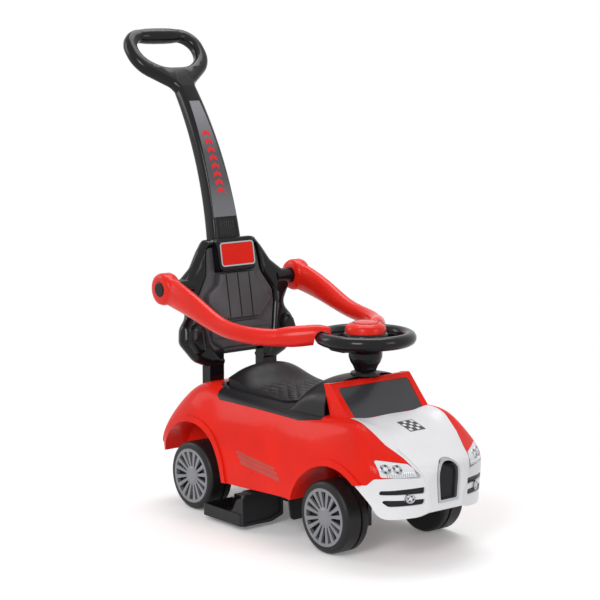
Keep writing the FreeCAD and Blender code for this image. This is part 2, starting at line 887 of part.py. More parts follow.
def make_seat_lid():
    """Saddle with a raised rear, hinged at its back edge on two inner lugs."""
    half = seat_half_width + 2
    low = seat_floor_z + bin_wall + seat_rest_gap
    rear = seat_rear_x
    stations = [
        (rear - 2, seat_floor_z + 14, seat_floor_z + 15),
        (rear + 12, seat_front_z + 4, seat_hump_z - 18),
        (rear + 26, seat_front_z + 3, seat_hump_z - 2),
        (rear + 44, seat_front_z + 2, seat_hump_z),
        (rear + 76, seat_front_z, seat_hump_z - 16),
        (rear + 118, seat_front_z, seat_front_z + 3),
        (rear + 160, seat_front_z - 1, seat_front_z - 1),
        (seat_front_x + 2, seat_front_z + 1, seat_front_z + 2),
    ]
    wires = []
    for x, edge, crown in stations:
        rise = crown - edge
        right = [(half, low - 2), (half, edge), (half * 0.72, edge + 0.62 * rise),
                 (half * 0.4, edge + 0.9 * rise)]
        contour = [(-y, z) for y, z in right] + [(0, crown)] + list(reversed(right))
        wires.append(contour_wire(x, contour, [0.0, 0.1, 0.25, 0.38, 0.5, 0.62, 0.75, 0.9, 1.0]))
    saddle = smooth_loft(wires)
    saddle = saddle.common(plan_prism(seat_outline(0), low, 2 * deck_z))
    saddle = saddle.cut(plan_prism(seat_outline(-seat_wall), low - 1, seat_front_z - seat_wall))
    hinge_x = rear + seat_hinge_in
    hinge_z = seat_floor_z + seat_hinge_up
    lug_half = seat_ear_y - seat_ear_half - seat_gap - seat_lug_y
    lug = box(hinge_x - seat_hinge_in + 1, hinge_x + 6, seat_lug_y - lug_half, seat_lug_y + lug_half,
              low, hinge_z + 10)
    for piece in both_sides(lug):
        saddle = saddle.fuse(piece)
    swing = seat_hinge_up - seat_rest_gap
    heel = box(rear - 5, hinge_x, -2 * half, 2 * half, 0,
               hinge_z).cut(seat_across(swing, -2 * half, 2 * half))
    saddle = saddle.cut(heel)
    y0 = seat_ear_y - seat_ear_half - seat_gap
    y1 = seat_pin_half_length + seat_gap
    room = box(rear - 5, hinge_x + swing, y0, y1, 0, hinge_z).fuse(seat_across(swing, y0, y1))
    for piece in both_sides(room):
        saddle = saddle.cut(piece)
    saddle = saddle.cut(seat_pin_rod(axle_running_gap))
    notch = rod(seat_notch_radius, V(seat_front_x + 4, 0, low - 1),
                V(seat_front_x + 4, 0, seat_front_z + 10))
    return saddle.cut(notch)


# Floor, axles and footrests

def make_floor():
    """Underbody plate with the keel, the axle blocks, the footrest guides and the splash walls."""
    top = floor_z + floor_thickness
    wide = box(rear_axle_x + rear_arch_radius - 34, floor_front_x, -body_half_width, body_half_width,
               floor_z, top)
    inside = body_loft(-body_wall - seam)
    plate = wide.common(inside)
    rear = box(floor_rear_x, rear_axle_x + rear_arch_radius, -rear_block_outer_y, rear_block_outer_y,
               floor_z, top)
    plate = plate.fuse(rear).cut(rear_arch(seam + body_wall, seam + body_wall))
    keel_rear = foot_rear_x - 8
    keel_front = foot_front_x - keel_front_gap
    keel = box(keel_rear, keel_front, -keel_half_width, keel_half_width, keel_low_z, floor_z + 1)
    keel = keel.cut(box(keel_rear + keel_wall, keel_front - keel_wall,
                        -keel_half_width + keel_wall, keel_half_width - keel_wall,
                        keel_low_z + keel_wall, floor_z + 2))
    blocks = box(rear_axle_x - rear_block_half_length, rear_axle_x + rear_block_half_length,
                 -rear_block_outer_y, -rear_block_inner_y, rear_block_low_z, floor_z + 1)
    floor = plate.fuse(keel).fuse(blocks).fuse(mirrored(blocks))
    for piece in foot_rails() + [splash_plate()]:
        floor = floor.fuse(piece).fuse(mirrored(piece))
    slot = foot_tongue(foot_guide_gap, keel_half_width)
    floor = floor.cut(slot).cut(mirrored(slot))
    axle = rod(axle_radius + axle_running_gap, V(rear_axle_x, -200, tyre_radius),
               V(rear_axle_x, 200, tyre_radius))
    return floor.cut(axle).removeSplitter()


def splash_plate():
    """Wall that hangs from the front edge of the floor, behind one front wheel."""
    return front_prism([
        (-splash_outer_y, floor_z + 1, 0),
        (-splash_outer_y + splash_taper, splash_low_z, splash_round),
        (-splash_inner_y - splash_taper, splash_low_z, splash_round),
        (-splash_inner_y, floor_z + 1, 0),
    ], floor_front_x - splash_wall, floor_front_x)


def foot_tongue(grow, travel):
    """Flat tongue that guides a footrest through the keel."""
    return box(foot_rear_x + 10 - grow, foot_front_x - 20 + grow, -foot_inner_y - foot_wall,
               -foot_tongue_end_y + travel, foot_tongue_z - foot_wall - grow, foot_tongue_z + grow)


def foot_hanger(grow):
    """Bar on top of the toe board that slides under the floor plate."""
    middle = foot_front_x - foot_wall / 2
    return box(middle - 12 - grow, middle + 12 + grow, -foot_outer_y + 14, -foot_inner_y + 2,
               foot_board_z - grow, foot_board_z + foot_wall + grow)


def foot_rails():
    """Two hooked rails that carry the hanger."""
    hanger = foot_hanger(foot_guide_gap).BoundBox
    rails = []
    for x_lip, x_web, x_out in ((hanger.XMin + 7, hanger.XMin, hanger.XMin - 3),
                                (hanger.XMax - 7, hanger.XMax, hanger.XMax + 3)):
        y0 = -foot_outer_y + 2 + foot_wall + foot_travel + 1
        y1 = -keel_half_width + 1
        web = box(min(x_web, x_out), max(x_web, x_out), y0, y1, hanger.ZMin - 3, floor_z + 1)
        lip = box(min(x_lip, x_out), max(x_lip, x_out), y0, y1, hanger.ZMin - 3, hanger.ZMin)
        rails.append(web.fuse(lip))
    return rails


def foot_board(inset, x0, x1):
    """Toe board across the front of the tray, seen from the front."""
    return front_prism([
        (-foot_outer_y + 2 + inset, foot_low_z + inset, 4),
        (-foot_inner_y - inset, foot_low_z + inset, 6),
        (-foot_board_inner_y - inset, foot_low_z + foot_board_rise + inset, 4),
        (-foot_board_inner_y - inset, foot_board_z + 0.5 - inset, 6),
        (-foot_outer_y + 2 + inset, foot_board_z + 0.5 - inset, 9),
    ], x0, x1)


def make_footrest():
    """Right footrest: tray with low lips, a framed toe board and two guide tongues."""
    tray = box(foot_rear_x, foot_front_x, -foot_outer_y, -foot_inner_y, foot_low_z, foot_lip_z)
    tray = tray.makeFillet(6, [e for e in tray.Edges if abs(e.tangentAt(e.FirstParameter).z) > 0.99
                               and e.BoundBox.YMin < -foot_inner_y - 20])
    tray = tray.cut(box(foot_rear_x + foot_wall, foot_front_x - foot_wall, -foot_outer_y + foot_wall,
                        -foot_inner_y - foot_wall, foot_low_z + foot_wall, foot_lip_z + 5))
    board = foot_board(0, foot_front_x - foot_wall, foot_front_x)
    frame = foot_board(0, foot_front_x - 1, foot_front_x + foot_frame_proud).cut(
        foot_board(foot_frame, foot_front_x - 2, foot_front_x + 10))
    cheek = side_prism([
        (foot_front_x - 44, foot_lip_z - 4, 0),
        (foot_front_x - 1, foot_lip_z - 4, 0),
        (foot_front_x - 1, foot_board_z - 8, 0),
        (foot_front_x - 14, foot_board_z - 8, 12),
        (foot_front_x - 28, foot_lip_z + 4, 14),
    ], -foot_outer_y + 2, -foot_outer_y + 2 + foot_wall)
    inner = box(foot_rear_x + 10, foot_front_x - 20, -foot_inner_y - foot_wall, -foot_inner_y,
                foot_lip_z - 6, foot_tongue_z)
    rest = tray.fuse(board).fuse(frame).fuse(cheek).fuse(inner).fuse(foot_tongue(0, 0)).fuse(foot_hanger(0))
    return rest.removeSplitter()


def make_bin():
    """Storage box under the seat, hung by its flange on the seat pocket."""
    gap = seam
    outer = box(bin_rear_x + gap, bin_front_x - gap, -bin_half_width + gap, bin_half_width - gap,
                bin_floor_z, seat_floor_z + 1)
    flange = box(bin_rear_x - 9, bin_front_x + 9, -bin_half_width - 9, bin_half_width + 9,
                 seat_floor_z, seat_floor_z + bin_wall)
    outer = outer.fuse(flange)
    inner = box(bin_rear_x + gap + bin_wall, bin_front_x - gap - bin_wall, -bin_half_width + gap + bin_wall,
                bin_half_width - gap - bin_wall, bin_floor_z + bin_wall, seat_floor_z + 5)
    return outer.cut(inner).removeSplitter()


# Wheels

def make_wheel(axle_x, side):
    """Blown tyre with a two-band tread and a dished face for its hub cap."""
    inner_y = wheel_outer_y - tyre_width
    r = tyre_radius
    s = tyre_shoulder
    groove = wheel_outer_y - tread_groove_from_outside
    g = tread_groove_width / 2
    bore = axle_radius + axle_running_gap
    points = [
        (bore, inner_y), (r - s, inner_y), (r - 2, inner_y + 3), (r, inner_y + s),
        (r, groove - g), (r - tread_groove_depth, groove - g), (r - tread_groove_depth, groove + g),
        (r, groove + g), (r, wheel_outer_y - s), (r - 2, wheel_outer_y - 3), (r - s, wheel_outer_y),
        (hub_cap_radius + seam, wheel_outer_y), (hub_cap_radius + seam, wheel_outer_y - hub_cap_depth),
        (2 * axle_nut_radius, wheel_outer_y - hub_cap_depth),
        (2 * axle_nut_radius, wheel_outer_y - hub_cap_depth - axle_nut_length - 3),
        (bore, wheel_outer_y - hub_cap_depth - axle_nut_length - 3),
    ]
    wire = Part.makePolygon([V(axle_x, y, tyre_radius + radius) for radius, y in points + points[:1]])
    wheel = turned(Part.Face(wire), V(axle_x, 0, tyre_radius), Y_AXIS)
    return wheel if side > 0 else mirrored(wheel)


def make_hub_cap(axle_x, side):
    """Silver cap with paired spokes, its dish open between them."""
    outer = wheel_outer_y
    r = hub_cap_radius
    points = [
        (0, outer - hub_cap_depth + 2), (hub_disc_radius, outer - hub_cap_depth + 2),
        (r - hub_cap_rim, outer - hub_cap_depth + 3), (r - hub_cap_rim, outer - hub_cap_depth + seam),
        (r, outer - hub_cap_depth + seam), (r, outer), (r - hub_cap_rim + 1, outer),
        (hub_disc_radius + 4, outer - 3), (hub_disc_radius, outer - 1), (0, outer - 1),
    ]
    wire = Part.makePolygon([V(axle_x, y, tyre_radius + radius) for radius, y in points + points[:1]])
    cap = turned(Part.Face(wire), V(axle_x, 0, tyre_radius), Y_AXIS)
    step = 180.0 / spoke_pairs
    gaps = []
    for i in range(2 * spoke_pairs):
        width = step - 7.5 if i % 2 == 0 else step - 11.5
        gaps.append(spoke_gap(axle_x, i * step, width))
    cap = cap.cut(Part.makeCompound(gaps))
    return cap if side > 0 else mirrored(cap)


def spoke_gap(axle_x, middle, width):
    """One window between two spokes, a sector of the dish."""
    low = hub_disc_radius + 5
    high = hub_cap_radius - hub_cap_rim - 0.5
    half = math.radians(width / 2)
    inner_half = half * 0.72
    depth0 = wheel_outer_y - hub_cap_depth - 1
    depth1 = wheel_outer_y + 1

    def at(radius, angle):
        return V(axle_x + radius * math.sin(angle), depth0, tyre_radius + radius * math.cos(angle))

    a = math.radians(middle)
    edges = [
        Part.makeLine(at(low, a - inner_half), at(high, a - half)),
        Part.Arc(at(high, a - half), at(high, a), at(high, a + half)).toShape(),
        Part.makeLine(at(high, a + half), at(low, a + inner_half)),
        Part.Arc(at(low, a + inner_half), at(low, a), at(low, a - inner_half)).toShape(),
    ]
    return Part.Face(Part.Wire(edges)).extrude(V(0, depth1 - depth0, 0))


def axle_end_y():
    return wheel_outer_y - hub_cap_depth - 1


def make_rear_axle():
    end = axle_end_y()
    return rod(axle_radius, V(rear_axle_x, -end, tyre_radius), V(rear_axle_x, end, tyre_radius))


def make_axle_nut(axle_x, side):
    """Pressed cap nut on the end of an axle, behind the hub cap."""
    end = axle_end_y()
    start = V(axle_x, end - axle_nut_length, tyre_radius)
    nut = rod(axle_nut_radius, start, V(axle_x, end + 1, tyre_radius))
    nut = nut.cut(rod(axle_radius, start - V(0, 1, 0), V(axle_x, end, tyre_radius)))
    return nut if side > 0 else mirrored(nut)


# Steering gear

def make_knuckle(side):
    """Stub axle on an upright barrel, with its steering arm to the rear and a link pin."""
    x = front_axle_x
    y = kingpin_y
    barrel = rod(knuckle_radius, V(x, y, knuckle_low_z), V(x, y, knuckle_high_z))
    stub = rod(axle_radius, V(x, y, tyre_radius), V(x, axle_end_y(), tyre_radius))
    collar = rod(knuckle_radius - 1, V(x, y, tyre_radius),
                 V(x, wheel_outer_y - tyre_width - 0.6, tyre_radius))
    z0 = link_z() - link_gap - link_thickness
    arm = plan_prism([
        (x, y - knuckle_arm_half_width - 1, 0),
        (x, y + knuckle_arm_half_width + 1, 0),
        (x - knuckle_arm - knuckle_arm_half_width, y + knuckle_arm_half_width, 6),
        (x - knuckle_arm - knuckle_arm_half_width, y - knuckle_arm_half_width, 6),
    ], z0, z0 + link_thickness)
    pin = rod(link_pin_radius, V(x - knuckle_arm, y, z0),
              V(x - knuckle_arm, y, link_z() + link_thickness + 2))
    body = barrel.fuse(stub).fuse(collar).fuse(arm).fuse(pin)
    body = body.cut(rod(kingpin_radius + axle_running_gap, V(x, y, 0), V(x, y, 200)))
    return body.removeSplitter() if side > 0 else mirrored(body.removeSplitter())


def link_z():
    """Underside of the tie rod."""
    return knuckle_high_z - 2


def make_kingpin(side):
    pin = rod(kingpin_radius, V(front_axle_x, kingpin_y, knuckle_low_z - ear_gap - ear_thickness),
              V(front_axle_x, kingpin_y, knuckle_high_z + ear_gap + ear_thickness))
    head = rod(kingpin_radius + 3, V(front_axle_x, kingpin_y,
                                     knuckle_low_z - ear_gap - ear_thickness - 2.5),
               V(front_axle_x, kingpin_y, knuckle_low_z - ear_gap - ear_thickness))
    pin = pin.fuse(head).removeSplitter()
    return pin if side > 0 else mirrored(pin)


def make_tie_rod():
    """Flat link between the two steering arms, with a slotted tongue for the crank pin."""
    x = front_axle_x - knuckle_arm
    half = 8.0
    bar = plan_prism([
        (x - half, -kingpin_y - half, half - 0.5),
        (x + half, -kingpin_y - half, half - 0.5),
        (x + half, kingpin_y + half, half - 0.5),
        (x - half, kingpin_y + half, half - 0.5),
    ], link_z(), link_z() + link_thickness)
    crank_x = column_x - crank_length
    tongue = plan_prism([
        (crank_x - 11, -9, 8),
        (x, -16, 0),
        (x, 16, 0),
        (crank_x - 11, 9, 8),
    ], link_z(), link_z() + link_thickness)
    link = bar.fuse(tongue)
    reach = knuckle_arm * (1 - math.cos(math.radians(wheel_lock)))
    for y in (-kingpin_y, kingpin_y):
        link = link.cut(slot_hole(x, y, reach))
    reach = crank_length * (1 - math.cos(math.radians(steering_lock)))
    return link.cut(slot_hole(crank_x, 0, reach)).removeSplitter()


def slot_hole(x, y, reach):
    """Slot that lets a pin on a circular path run in a part that only slides across."""
    r = link_pin_radius + link_pin_gap
    return plan_prism([
        (x - r, y - r, r - 0.01),
        (x + reach + r, y - r, r - 0.01),
        (x + reach + r, y + r, r - 0.01),
        (x - r, y + r, r - 0.01),
    ], link_z() - 5, link_z() + link_thickness + 5)


def make_column():
    """Steel rod from the steering wheel down to a crank with its pin."""
    crank_z = link_z() + link_thickness + 3
    shaft = rod(column_radius, V(column_x, 0, crank_z), V(column_x, 0, steer_hub_low_z + 10))
    crank_x = column_x - crank_length
    half = 8.0
    crank = plan_prism([
        (crank_x - half, -half, half - 0.5),
        (column_x + half, -half, half - 0.5),
        (column_x + half, half, half - 0.5),
        (crank_x - half, half, half - 0.5),
    ], crank_z, crank_z + link_thickness)
    pin = rod(link_pin_radius, V(crank_x, 0, link_z() - 2), V(crank_x, 0, crank_z + 1))
    return shaft.fuse(crank).fuse(pin).removeSplitter()


def make_housing():
    """Black front axle carrier: deck, column bearing and two forks for the knuckles."""
    deck = plan_prism([
        (floor_front_x - 12, -housing_half_width, 6),
        (housing_front_x, -housing_half_width, 10),
        (housing_front_x, housing_half_width, 10),
        (floor_front_x - 12, housing_half_width, 6),
    ], housing_deck_z, housing_deck_z + housing_deck)
    bearing = rod(15, V(column_x, 0, housing_deck_z), V(column_x, 0, housing_deck_z + 26))
    step = box(floor_front_x - 12, floor_front_x + 4, -housing_half_width + 6, housing_half_width - 6,
               floor_z + floor_thickness, housing_deck_z + 1)
    x0 = front_axle_x - ear_half_length
    x1 = front_axle_x + ear_half_length
    forks = None
    low_ear = knuckle_low_z - ear_gap
    high_ear = knuckle_high_z + ear_gap
    wall_y = kingpin_y - knuckle_radius - 12
    wall = box(x0, x1, wall_y, wall_y + 8, low_ear - ear_thickness, housing_deck_z + 1)
    lower = box(x0, x1, wall_y, kingpin_y + 12, low_ear - ear_thickness, low_ear)
    upper = box(x0, x1, wall_y, kingpin_y + 12, high_ear, high_ear + ear_thickness)
    roof = box(x0, x1, wall_y, housing_half_width, high_ear, housing_deck_z + 1)
    fork = wall.fuse(lower).fuse(upper).fuse(roof)
    fork = fork.cut(rod(kingpin_radius, V(front_axle_x, kingpin_y, 0), V(front_axle_x, kingpin_y, 200)))
    forks = fork.fuse(mirrored(fork))
    body = deck.fuse(bearing).fuse(step).fuse(forks)
    body = body.cut(rod(column_radius + column_gap, V(column_x, 0, 0), V(column_x, 0, 300)))
    return body.removeSplitter()


def make_bush():
    """Flanged collar on top of the dash around the column."""
    flange = rod(bush_radius, V(column_x, 0, dash_top_z), V(column_x, 0, bush_high_z))
    neck = rod(column_radius + 1.6, V(column_x, 0, dash_top_z - 16), V(column_x, 0, bush_high_z))
    return flange.fuse(neck).cut(rod(column_radius + column_gap, V(column_x, 0, 0),
                                     V(column_x, 0, 400))).removeSplitter()


def rim_ring(tube):
    """Round rim of the steering wheel, turned from a many-sided section."""
    points = []
    for i in range(rim_sides):
        angle = 2 * math.pi * (i + 0.5) / rim_sides
        points.append((rim_radius + tube * math.cos(angle), wheel_z + tube * math.sin(angle)))
    return turned(ring_profile(points, column_x, 0), V(column_x, 0, 0), Z_AXIS)


def make_steering_wheel():
    rim = rim_ring(rim_tube)
    hub = turned(ring_profile([
        (0, steer_hub_low_z), (boss_top_radius, steer_hub_low_z), (steer_hub_radius, steer_hub_low_z + 10),
        (steer_hub_radius, steer_hub_high_z - 3), (steer_hub_radius - 3, steer_hub_high_z),
        (0, steer_hub_high_z),
    ], column_x, 0), V(column_x, 0, 0), Z_AXIS)
    spoke = front_prism([
        (steer_hub_radius - 6, spoke_low_z, 2),
        (steer_hub_radius - 6, spoke_high_z + 4, 0),
        (rim_radius - rim_tube + 1, spoke_high_z, 0),
        (rim_radius + 1, wheel_z - 1, 0),
        (rim_radius + 1, wheel_z - rim_tube + 2, 0),
        (rim_radius - rim_tube, spoke_low_z + 2, 4),
    ], column_x - spoke_half_width, column_x + spoke_half_width)
    wheel = rim.fuse(hub).fuse(spoke).fuse(mirrored(spoke))
    pocket = rod(horn_radius + horn_gap, V(column_x, 0, steer_hub_high_z - 6 - horn_travel),
                 V(column_x, 0, 500))
    stem = rod(8 + horn_gap, V(column_x, 0, steer_hub_low_z + 16), V(column_x, 0, 500))
    wheel = wheel.cut(pocket).cut(stem)
    wheel = wheel.cut(rod(column_radius, V(column_x, 0, 0), V(column_x, 0, steer_hub_low_z + 10)))
    for hole in button_holes():
        wheel = wheel.cut(hole)
    return wheel.removeSplitter()


def button_holes():
    low = spoke_high_z - 6
    start = V(column_x, -button_from_axis, low)
    return both_sides(rod(button_radius + horn_gap, start, start + V(0, 0, 60)))


def make_button(side):
    low = spoke_high_z - 6 + button_travel + 0.3
    top = spoke_high_z + button_height
    r = button_radius
    section = ring_profile([(0, low), (r, low), (r, top - 1.2), (r - 1.2, top), (0, top)], column_x,
                           button_from_axis)
    body = turned(section, V(column_x, button_from_axis, 0), Z_AXIS)
    return body if side > 0 else mirrored(body)


def make_horn():
    low = steer_hub_high_z - 6
    r = horn_radius
    pad = turned(ring_profile([
        (0, low), (r, low), (r, horn_high_z - 12), (r - 2, horn_high_z - 8), (r - 8, horn_high_z - 4),
        (r - 18, horn_high_z - 1), (0, horn_high_z),
    ], column_x, 0), V(column_x, 0, 0), Z_AXIS)
    stem = rod(8, V(column_x, 0, steer_hub_low_z + 16 + horn_travel + 0.4), V(column_x, 0, low + 1))
    return pad.fuse(stem).removeSplitter()


def make_steering_boss():
    """Tapered sound box under the steering wheel."""
    r0 = boss_top_radius
    r1 = boss_foot_radius
    top = steer_hub_low_z
    w = boss_wall
    return turned(ring_profile([
        (column_radius, top), (r0, top), (r0, top - 8), (r0 - 3, top - 17), (r1 + 3.5, boss_foot_z + 9),
        (r1, boss_foot_z), (column_radius, boss_foot_z), (column_radius, boss_foot_z + w),
        (r1 - w, boss_foot_z + w), (r1 + 3.5 - w, boss_foot_z + 9), (r0 - 3 - w, top - 17),
        (r0 - w, top - 8),
        (r0 - w, top - w), (column_radius, top - w),
    ], column_x, 0), V(column_x, 0, 0), Z_AXIS)


def make_sound_module():
    """Speaker and cell holder inside the boss."""
    z = steer_hub_low_z - boss_wall
    return turned(ring_profile([
        (column_radius + 1, z), (boss_top_radius - boss_wall - 3, z),
        (boss_top_radius - boss_wall - 3, z - 6),
        (column_radius + 9, z - 13), (column_radius + 1, z - 13),
    ], column_x, 0), V(column_x, 0, 0), Z_AXIS)


# Backrest

def back_place(y, h, n):
    """Backrest frame: y across, h up along the leaning back, n forward of its front face."""
    lean = math.radians(back_lean)
    up = V(-math.sin(lean), 0, math.cos(lean))
    out = V(math.cos(lean), 0, math.sin(lean))
    return V(back_foot_x, 0, back_foot_z) + up * h + out * n + V(0, y, 0)


def back_corners():
    """Outline of the backrest: across, up along the back, corner radius."""
    top = back_height
    return mirror_outline([
        (76, -14, 12), (108, 0, 24), (136, 36, 20), (131, 66, 22), (111, 90, 18), (132, 124, 16),
        (125, 152, 14), (92, 178, 26), (74, top - 20, 14), (58, top, 10),
    ])


def pad_corners():
    """Outline of the pocket that holds the pad."""
    top = back_height
    return mirror_outline([
        (56, 2, 8), (74, 30, 20), (80, 60, 30), (88, 96, 24), (88, 120, 20), (64, 158, 30),
        (58, top - 16, 8),
    ])


def cushion_corners():
    """Outline of the raised middle of the pad."""
    return mirror_outline([
        (44, 72, 7), (75, 103, 16), (72, 122, 14), (46, 140, 12), (41, back_height - socket_length - 2, 3),
    ])


def bolster_corners():
    """Outline of one side bolster beside the hips."""
    return [(92, 16, 10), (112, 12, 14), (128, 38, 14), (123, 60, 14), (106, 78, 12), (94, 58, 20)]


def lumbar_corners():
    """Outline of the lower roll of the pad."""
    return mirror_outline([(50, 18, 5), (67, 30, 14), (73, 58, 12), (44, 67, 8)])


def inset_corners(corners, inset):
    """Move every side of an outline inward; round corners keep their centres."""
    count = len(corners)
    moved = []
    for i in range(count):
        here = V(corners[i][0], corners[i][1], 0)
        before = V(corners[i - 1][0], corners[i - 1][1], 0)
        after = V(corners[(i + 1) % count][0], corners[(i + 1) % count][1], 0)
        first = (here - before).normalize()
        second = (after - here).normalize()
        normal = V(-first.y, first.x, 0) + V(-second.y, second.x, 0)
        step = normal * (2.0 / normal.Length ** 2) * inset
        convex = first.x * second.y - first.y * second.x > 0
        radius = corners[i][2] - inset if convex else corners[i][2] + inset
        moved.append((here.x + step.x, here.y + step.y, max(radius, 1.0)))
    return moved


def back_wire(corners, inset, n):
    return rounded_wire(inset_corners(corners, inset), lambda p: back_place(p.x, p.y, n))


def back_layer(corners, inset, n0, n1):
    """Flat slice of an outline between two depths of the backrest frame."""
    return Part.Face(back_wire(corners, inset, n0)).extrude(back_direction() * (n1 - n0))


def back_relief(corners, n0, n1, ease):
    """Raised piece of the backrest with an eased front edge."""
    return Part.makeLoft([
        back_wire(corners, 0, n0), back_wire(corners, 0, n1 - ease),
        back_wire(corners, 0.3 * ease, n1 - 0.3 * ease),
        back_wire(corners, ease, n1),
    ], True, True)


def back_direction():
    return back_place(0, 0, 1) - back_place(0, 0, 0)


def socket_corners():
    return mirror_outline([
        (socket_half_width, back_height - socket_length, socket_corner),
        (socket_half_width, back_height, socket_corner),
    ])


def make_backrest():
    """Racing seat back: rounded border, pocket for the pad, handle socket and two legs."""
    r = back_round
    d = back_depth
    border = back_corners()
    whole = Part.makeLoft([
        back_wire(border, r, 0), back_wire(border, 0.5 * r, -0.13 * r),
        back_wire(border, 0.13 * r, -0.5 * r),
        back_wire(border, 0, -r), back_wire(border, 0, -d + r), back_wire(border, 0.3 * r, -d + 0.3 * r),
        back_wire(border, r, -d),
    ], True, True)
    pocket = pad_corners()
    flare = back_pocket_flare
    whole = whole.cut(back_layer(pocket, 0, -back_pocket, 1))
    whole = whole.cut(Part.makeLoft([back_wire(pocket, 0, -flare),
                                     back_wire(pocket, -0.4 * flare, -0.3 * flare),
                                     back_wire(pocket, -flare - 0.5, 0.5)], True, True))
    whole = whole.cut(back_layer(pocket, 0, -d - 1, -back_pocket - back_wall))
    gap = block(-leg_inner_y, leg_inner_y, -40, 8, -d - 5, 5)
    whole = whole.cut(gap)
    for bolster in both_sides(back_relief(bolster_corners(), -back_pocket, bolster_proud, bolster_ease)):
        whole = whole.fuse(bolster)
    rear = -handle_set_back - handle_tongue_depth / 2 - socket_wall
    whole = whole.fuse(back_relief(socket_corners(), rear, socket_proud, socket_round))
    whole = whole.cut(badge_layer(seam, socket_proud - badge_recess, socket_proud + 3))
    whole = whole.cut(tongue_block(handle_gap))
    for leg in leg_solids(0):
        whole = whole.fuse(leg)
    for boss in pivot_bosses():
        whole = whole.fuse(boss)
    whole = whole.cut(pivot_bore())
    return whole.removeSplitter()





def block(y0, y1, h0, h1, n0, n1):
    """Box in the backrest frame."""
    corners = [back_place(y0, h0, n0), back_place(y1, h0, n0), back_place(y1, h1, n0),
               back_place(y0, h1, n0)]
    face = Part.Face(Part.makePolygon(corners + corners[:1]))
    return face.extrude(back_direction() * (n1 - n0))


def badge_layer(grow, n0, n1):
    """Rounded plate on the front of the handle socket."""
    high = back_height - (socket_length - badge_height) / 2
    corners = mirror_outline([(badge_half_width, high - badge_height, badge_corner),
                              (badge_half_width, high, badge_corner)])
    return back_layer(corners, -grow, n0, n1)


def make_badge():
    low = socket_proud - badge_recess
    return badge_layer(0, low, low + badge_thickness)


def make_bezel():
    """Bright frame round the badge."""
    ring = badge_layer(seam + bezel_width, socket_proud, socket_proud + bezel_proud)
    return ring.cut(badge_layer(seam, socket_proud - 1, socket_proud + bezel_proud + 1))


def make_pad():
    """Moulded centre of the backrest: flat base, raised middle cushion and lumbar roll."""
    base = -back_pocket
    face = base + pad_thickness
    pad = back_layer(pad_corners(), seam, base, face)
    cushion = back_relief(cushion_corners(), base + 1, face + pad_cushion_rise, pad_ease)
    for y in (-1, 0, 1):
        middle = y * cushion_pitch
        cushion = cushion.cut(block(middle - pad_groove / 2, middle + pad_groove / 2, 0, back_height,
                                    face + pad_cushion_rise - pad_groove, 40))
    lumbar = back_relief(lumbar_corners(), base + 1, face + pad_lumbar_rise, pad_ease)
    for h in (36.0, 50.0):
        lumbar = lumbar.cut(block(-140, 140, h, h + pad_groove, face + pad_lumbar_rise - pad_groove, 40))
    pad = pad.fuse(cushion).fuse(lumbar)
    pad = pad.cut(block(-socket_half_width - seam, socket_half_width + seam,
                        back_height - socket_length - seam,
                        back_height + 20, -back_depth, 20))
    pad = pad.cut(block(-leg_inner_y - seam, leg_inner_y + seam, -40, 8 + 6, -back_depth, 20))
    for leg in leg_solids(seam):
        pad = pad.cut(leg)
    return sorted(pad.Solids, key=lambda s: s.Volume)[-1]


def leg_solids(grow):
    """The two upright legs under the backrest that plug into the rear deck."""
    x1 = back_foot_x - leg_behind + leg_depth
    right = box(x1 - leg_depth - grow, x1 + grow, -leg_outer_y - grow, -leg_inner_y + grow,
                leg_socket_z, back_foot_z + 16)
    return both_sides(right)


def make_leg_sockets(skin):
    """Box sockets moulded under the rear deck."""
    x1 = back_foot_x - leg_behind + leg_depth
    wall = leg_gap + body_wall
    right = box(x1 - leg_depth - wall, x1 + wall, -leg_outer_y - wall, -leg_inner_y + wall,
                leg_socket_z - body_wall, deck_z + 20)
    return skin.outer.common(right.fuse(mirrored(right)))


def pivot_bosses():
    start = V(pivot_x, -arm_inner_y + 0.5, pivot_z)
    boss = rod(pivot_boss_radius, start, V(pivot_x, -100, pivot_z))
    return both_sides(boss)


def pivot_bore():
    return rod(pivot_radius, V(pivot_x, -200, pivot_z), V(pivot_x, -arm_inner_y + 26, pivot_z)).fuse(
        rod(pivot_radius, V(pivot_x, arm_inner_y - 26, pivot_z), V(pivot_x, 200, pivot_z)))


def pivot_turned(points):
    """Round piece about the left arm's pivot; points are (radius, y)."""
    wire = Part.makePolygon([V(pivot_x, y, pivot_z + radius) for radius, y in points + points[:1]])
    return turned(Part.Face(wire), V(pivot_x, 0, pivot_z), Y_AXIS)


def rounded_ends(radius, y0, y1, round0, round1):
    """Section of a disc with eased edges."""
    points = [(0, y0), (radius - round0, y0), (radius - 0.3 * round0, y0 + 0.3 * round0),
              (radius, y0 + round0),
              (radius, y1 - round1), (radius - 0.3 * round1, y1 - 0.3 * round1), (radius - round1, y1),
              (0, y1)]
    return [point for i, point in enumerate(points) if i == 0 or point != points[i - 1]]


def make_pivot(side):
    """Headed pin that holds a guard arm on the backrest."""
    pin = rod(pivot_radius, V(pivot_x, arm_inner_y - 25, pivot_z),
              V(pivot_x, arm_outer_y - arm_cap_depth, pivot_z))
    head = pivot_turned(rounded_ends(arm_cap_radius, arm_outer_y - arm_cap_depth + 0.4, arm_outer_y + 2, 0,
                                     1.8))
    link = rod(pivot_radius, V(pivot_x, arm_outer_y - arm_cap_depth - 1, pivot_z),
               V(pivot_x, arm_outer_y, pivot_z))
    pin = pin.fuse(link).fuse(head).removeSplitter()
    return pin if side > 0 else mirrored(pin)


# Guard arms

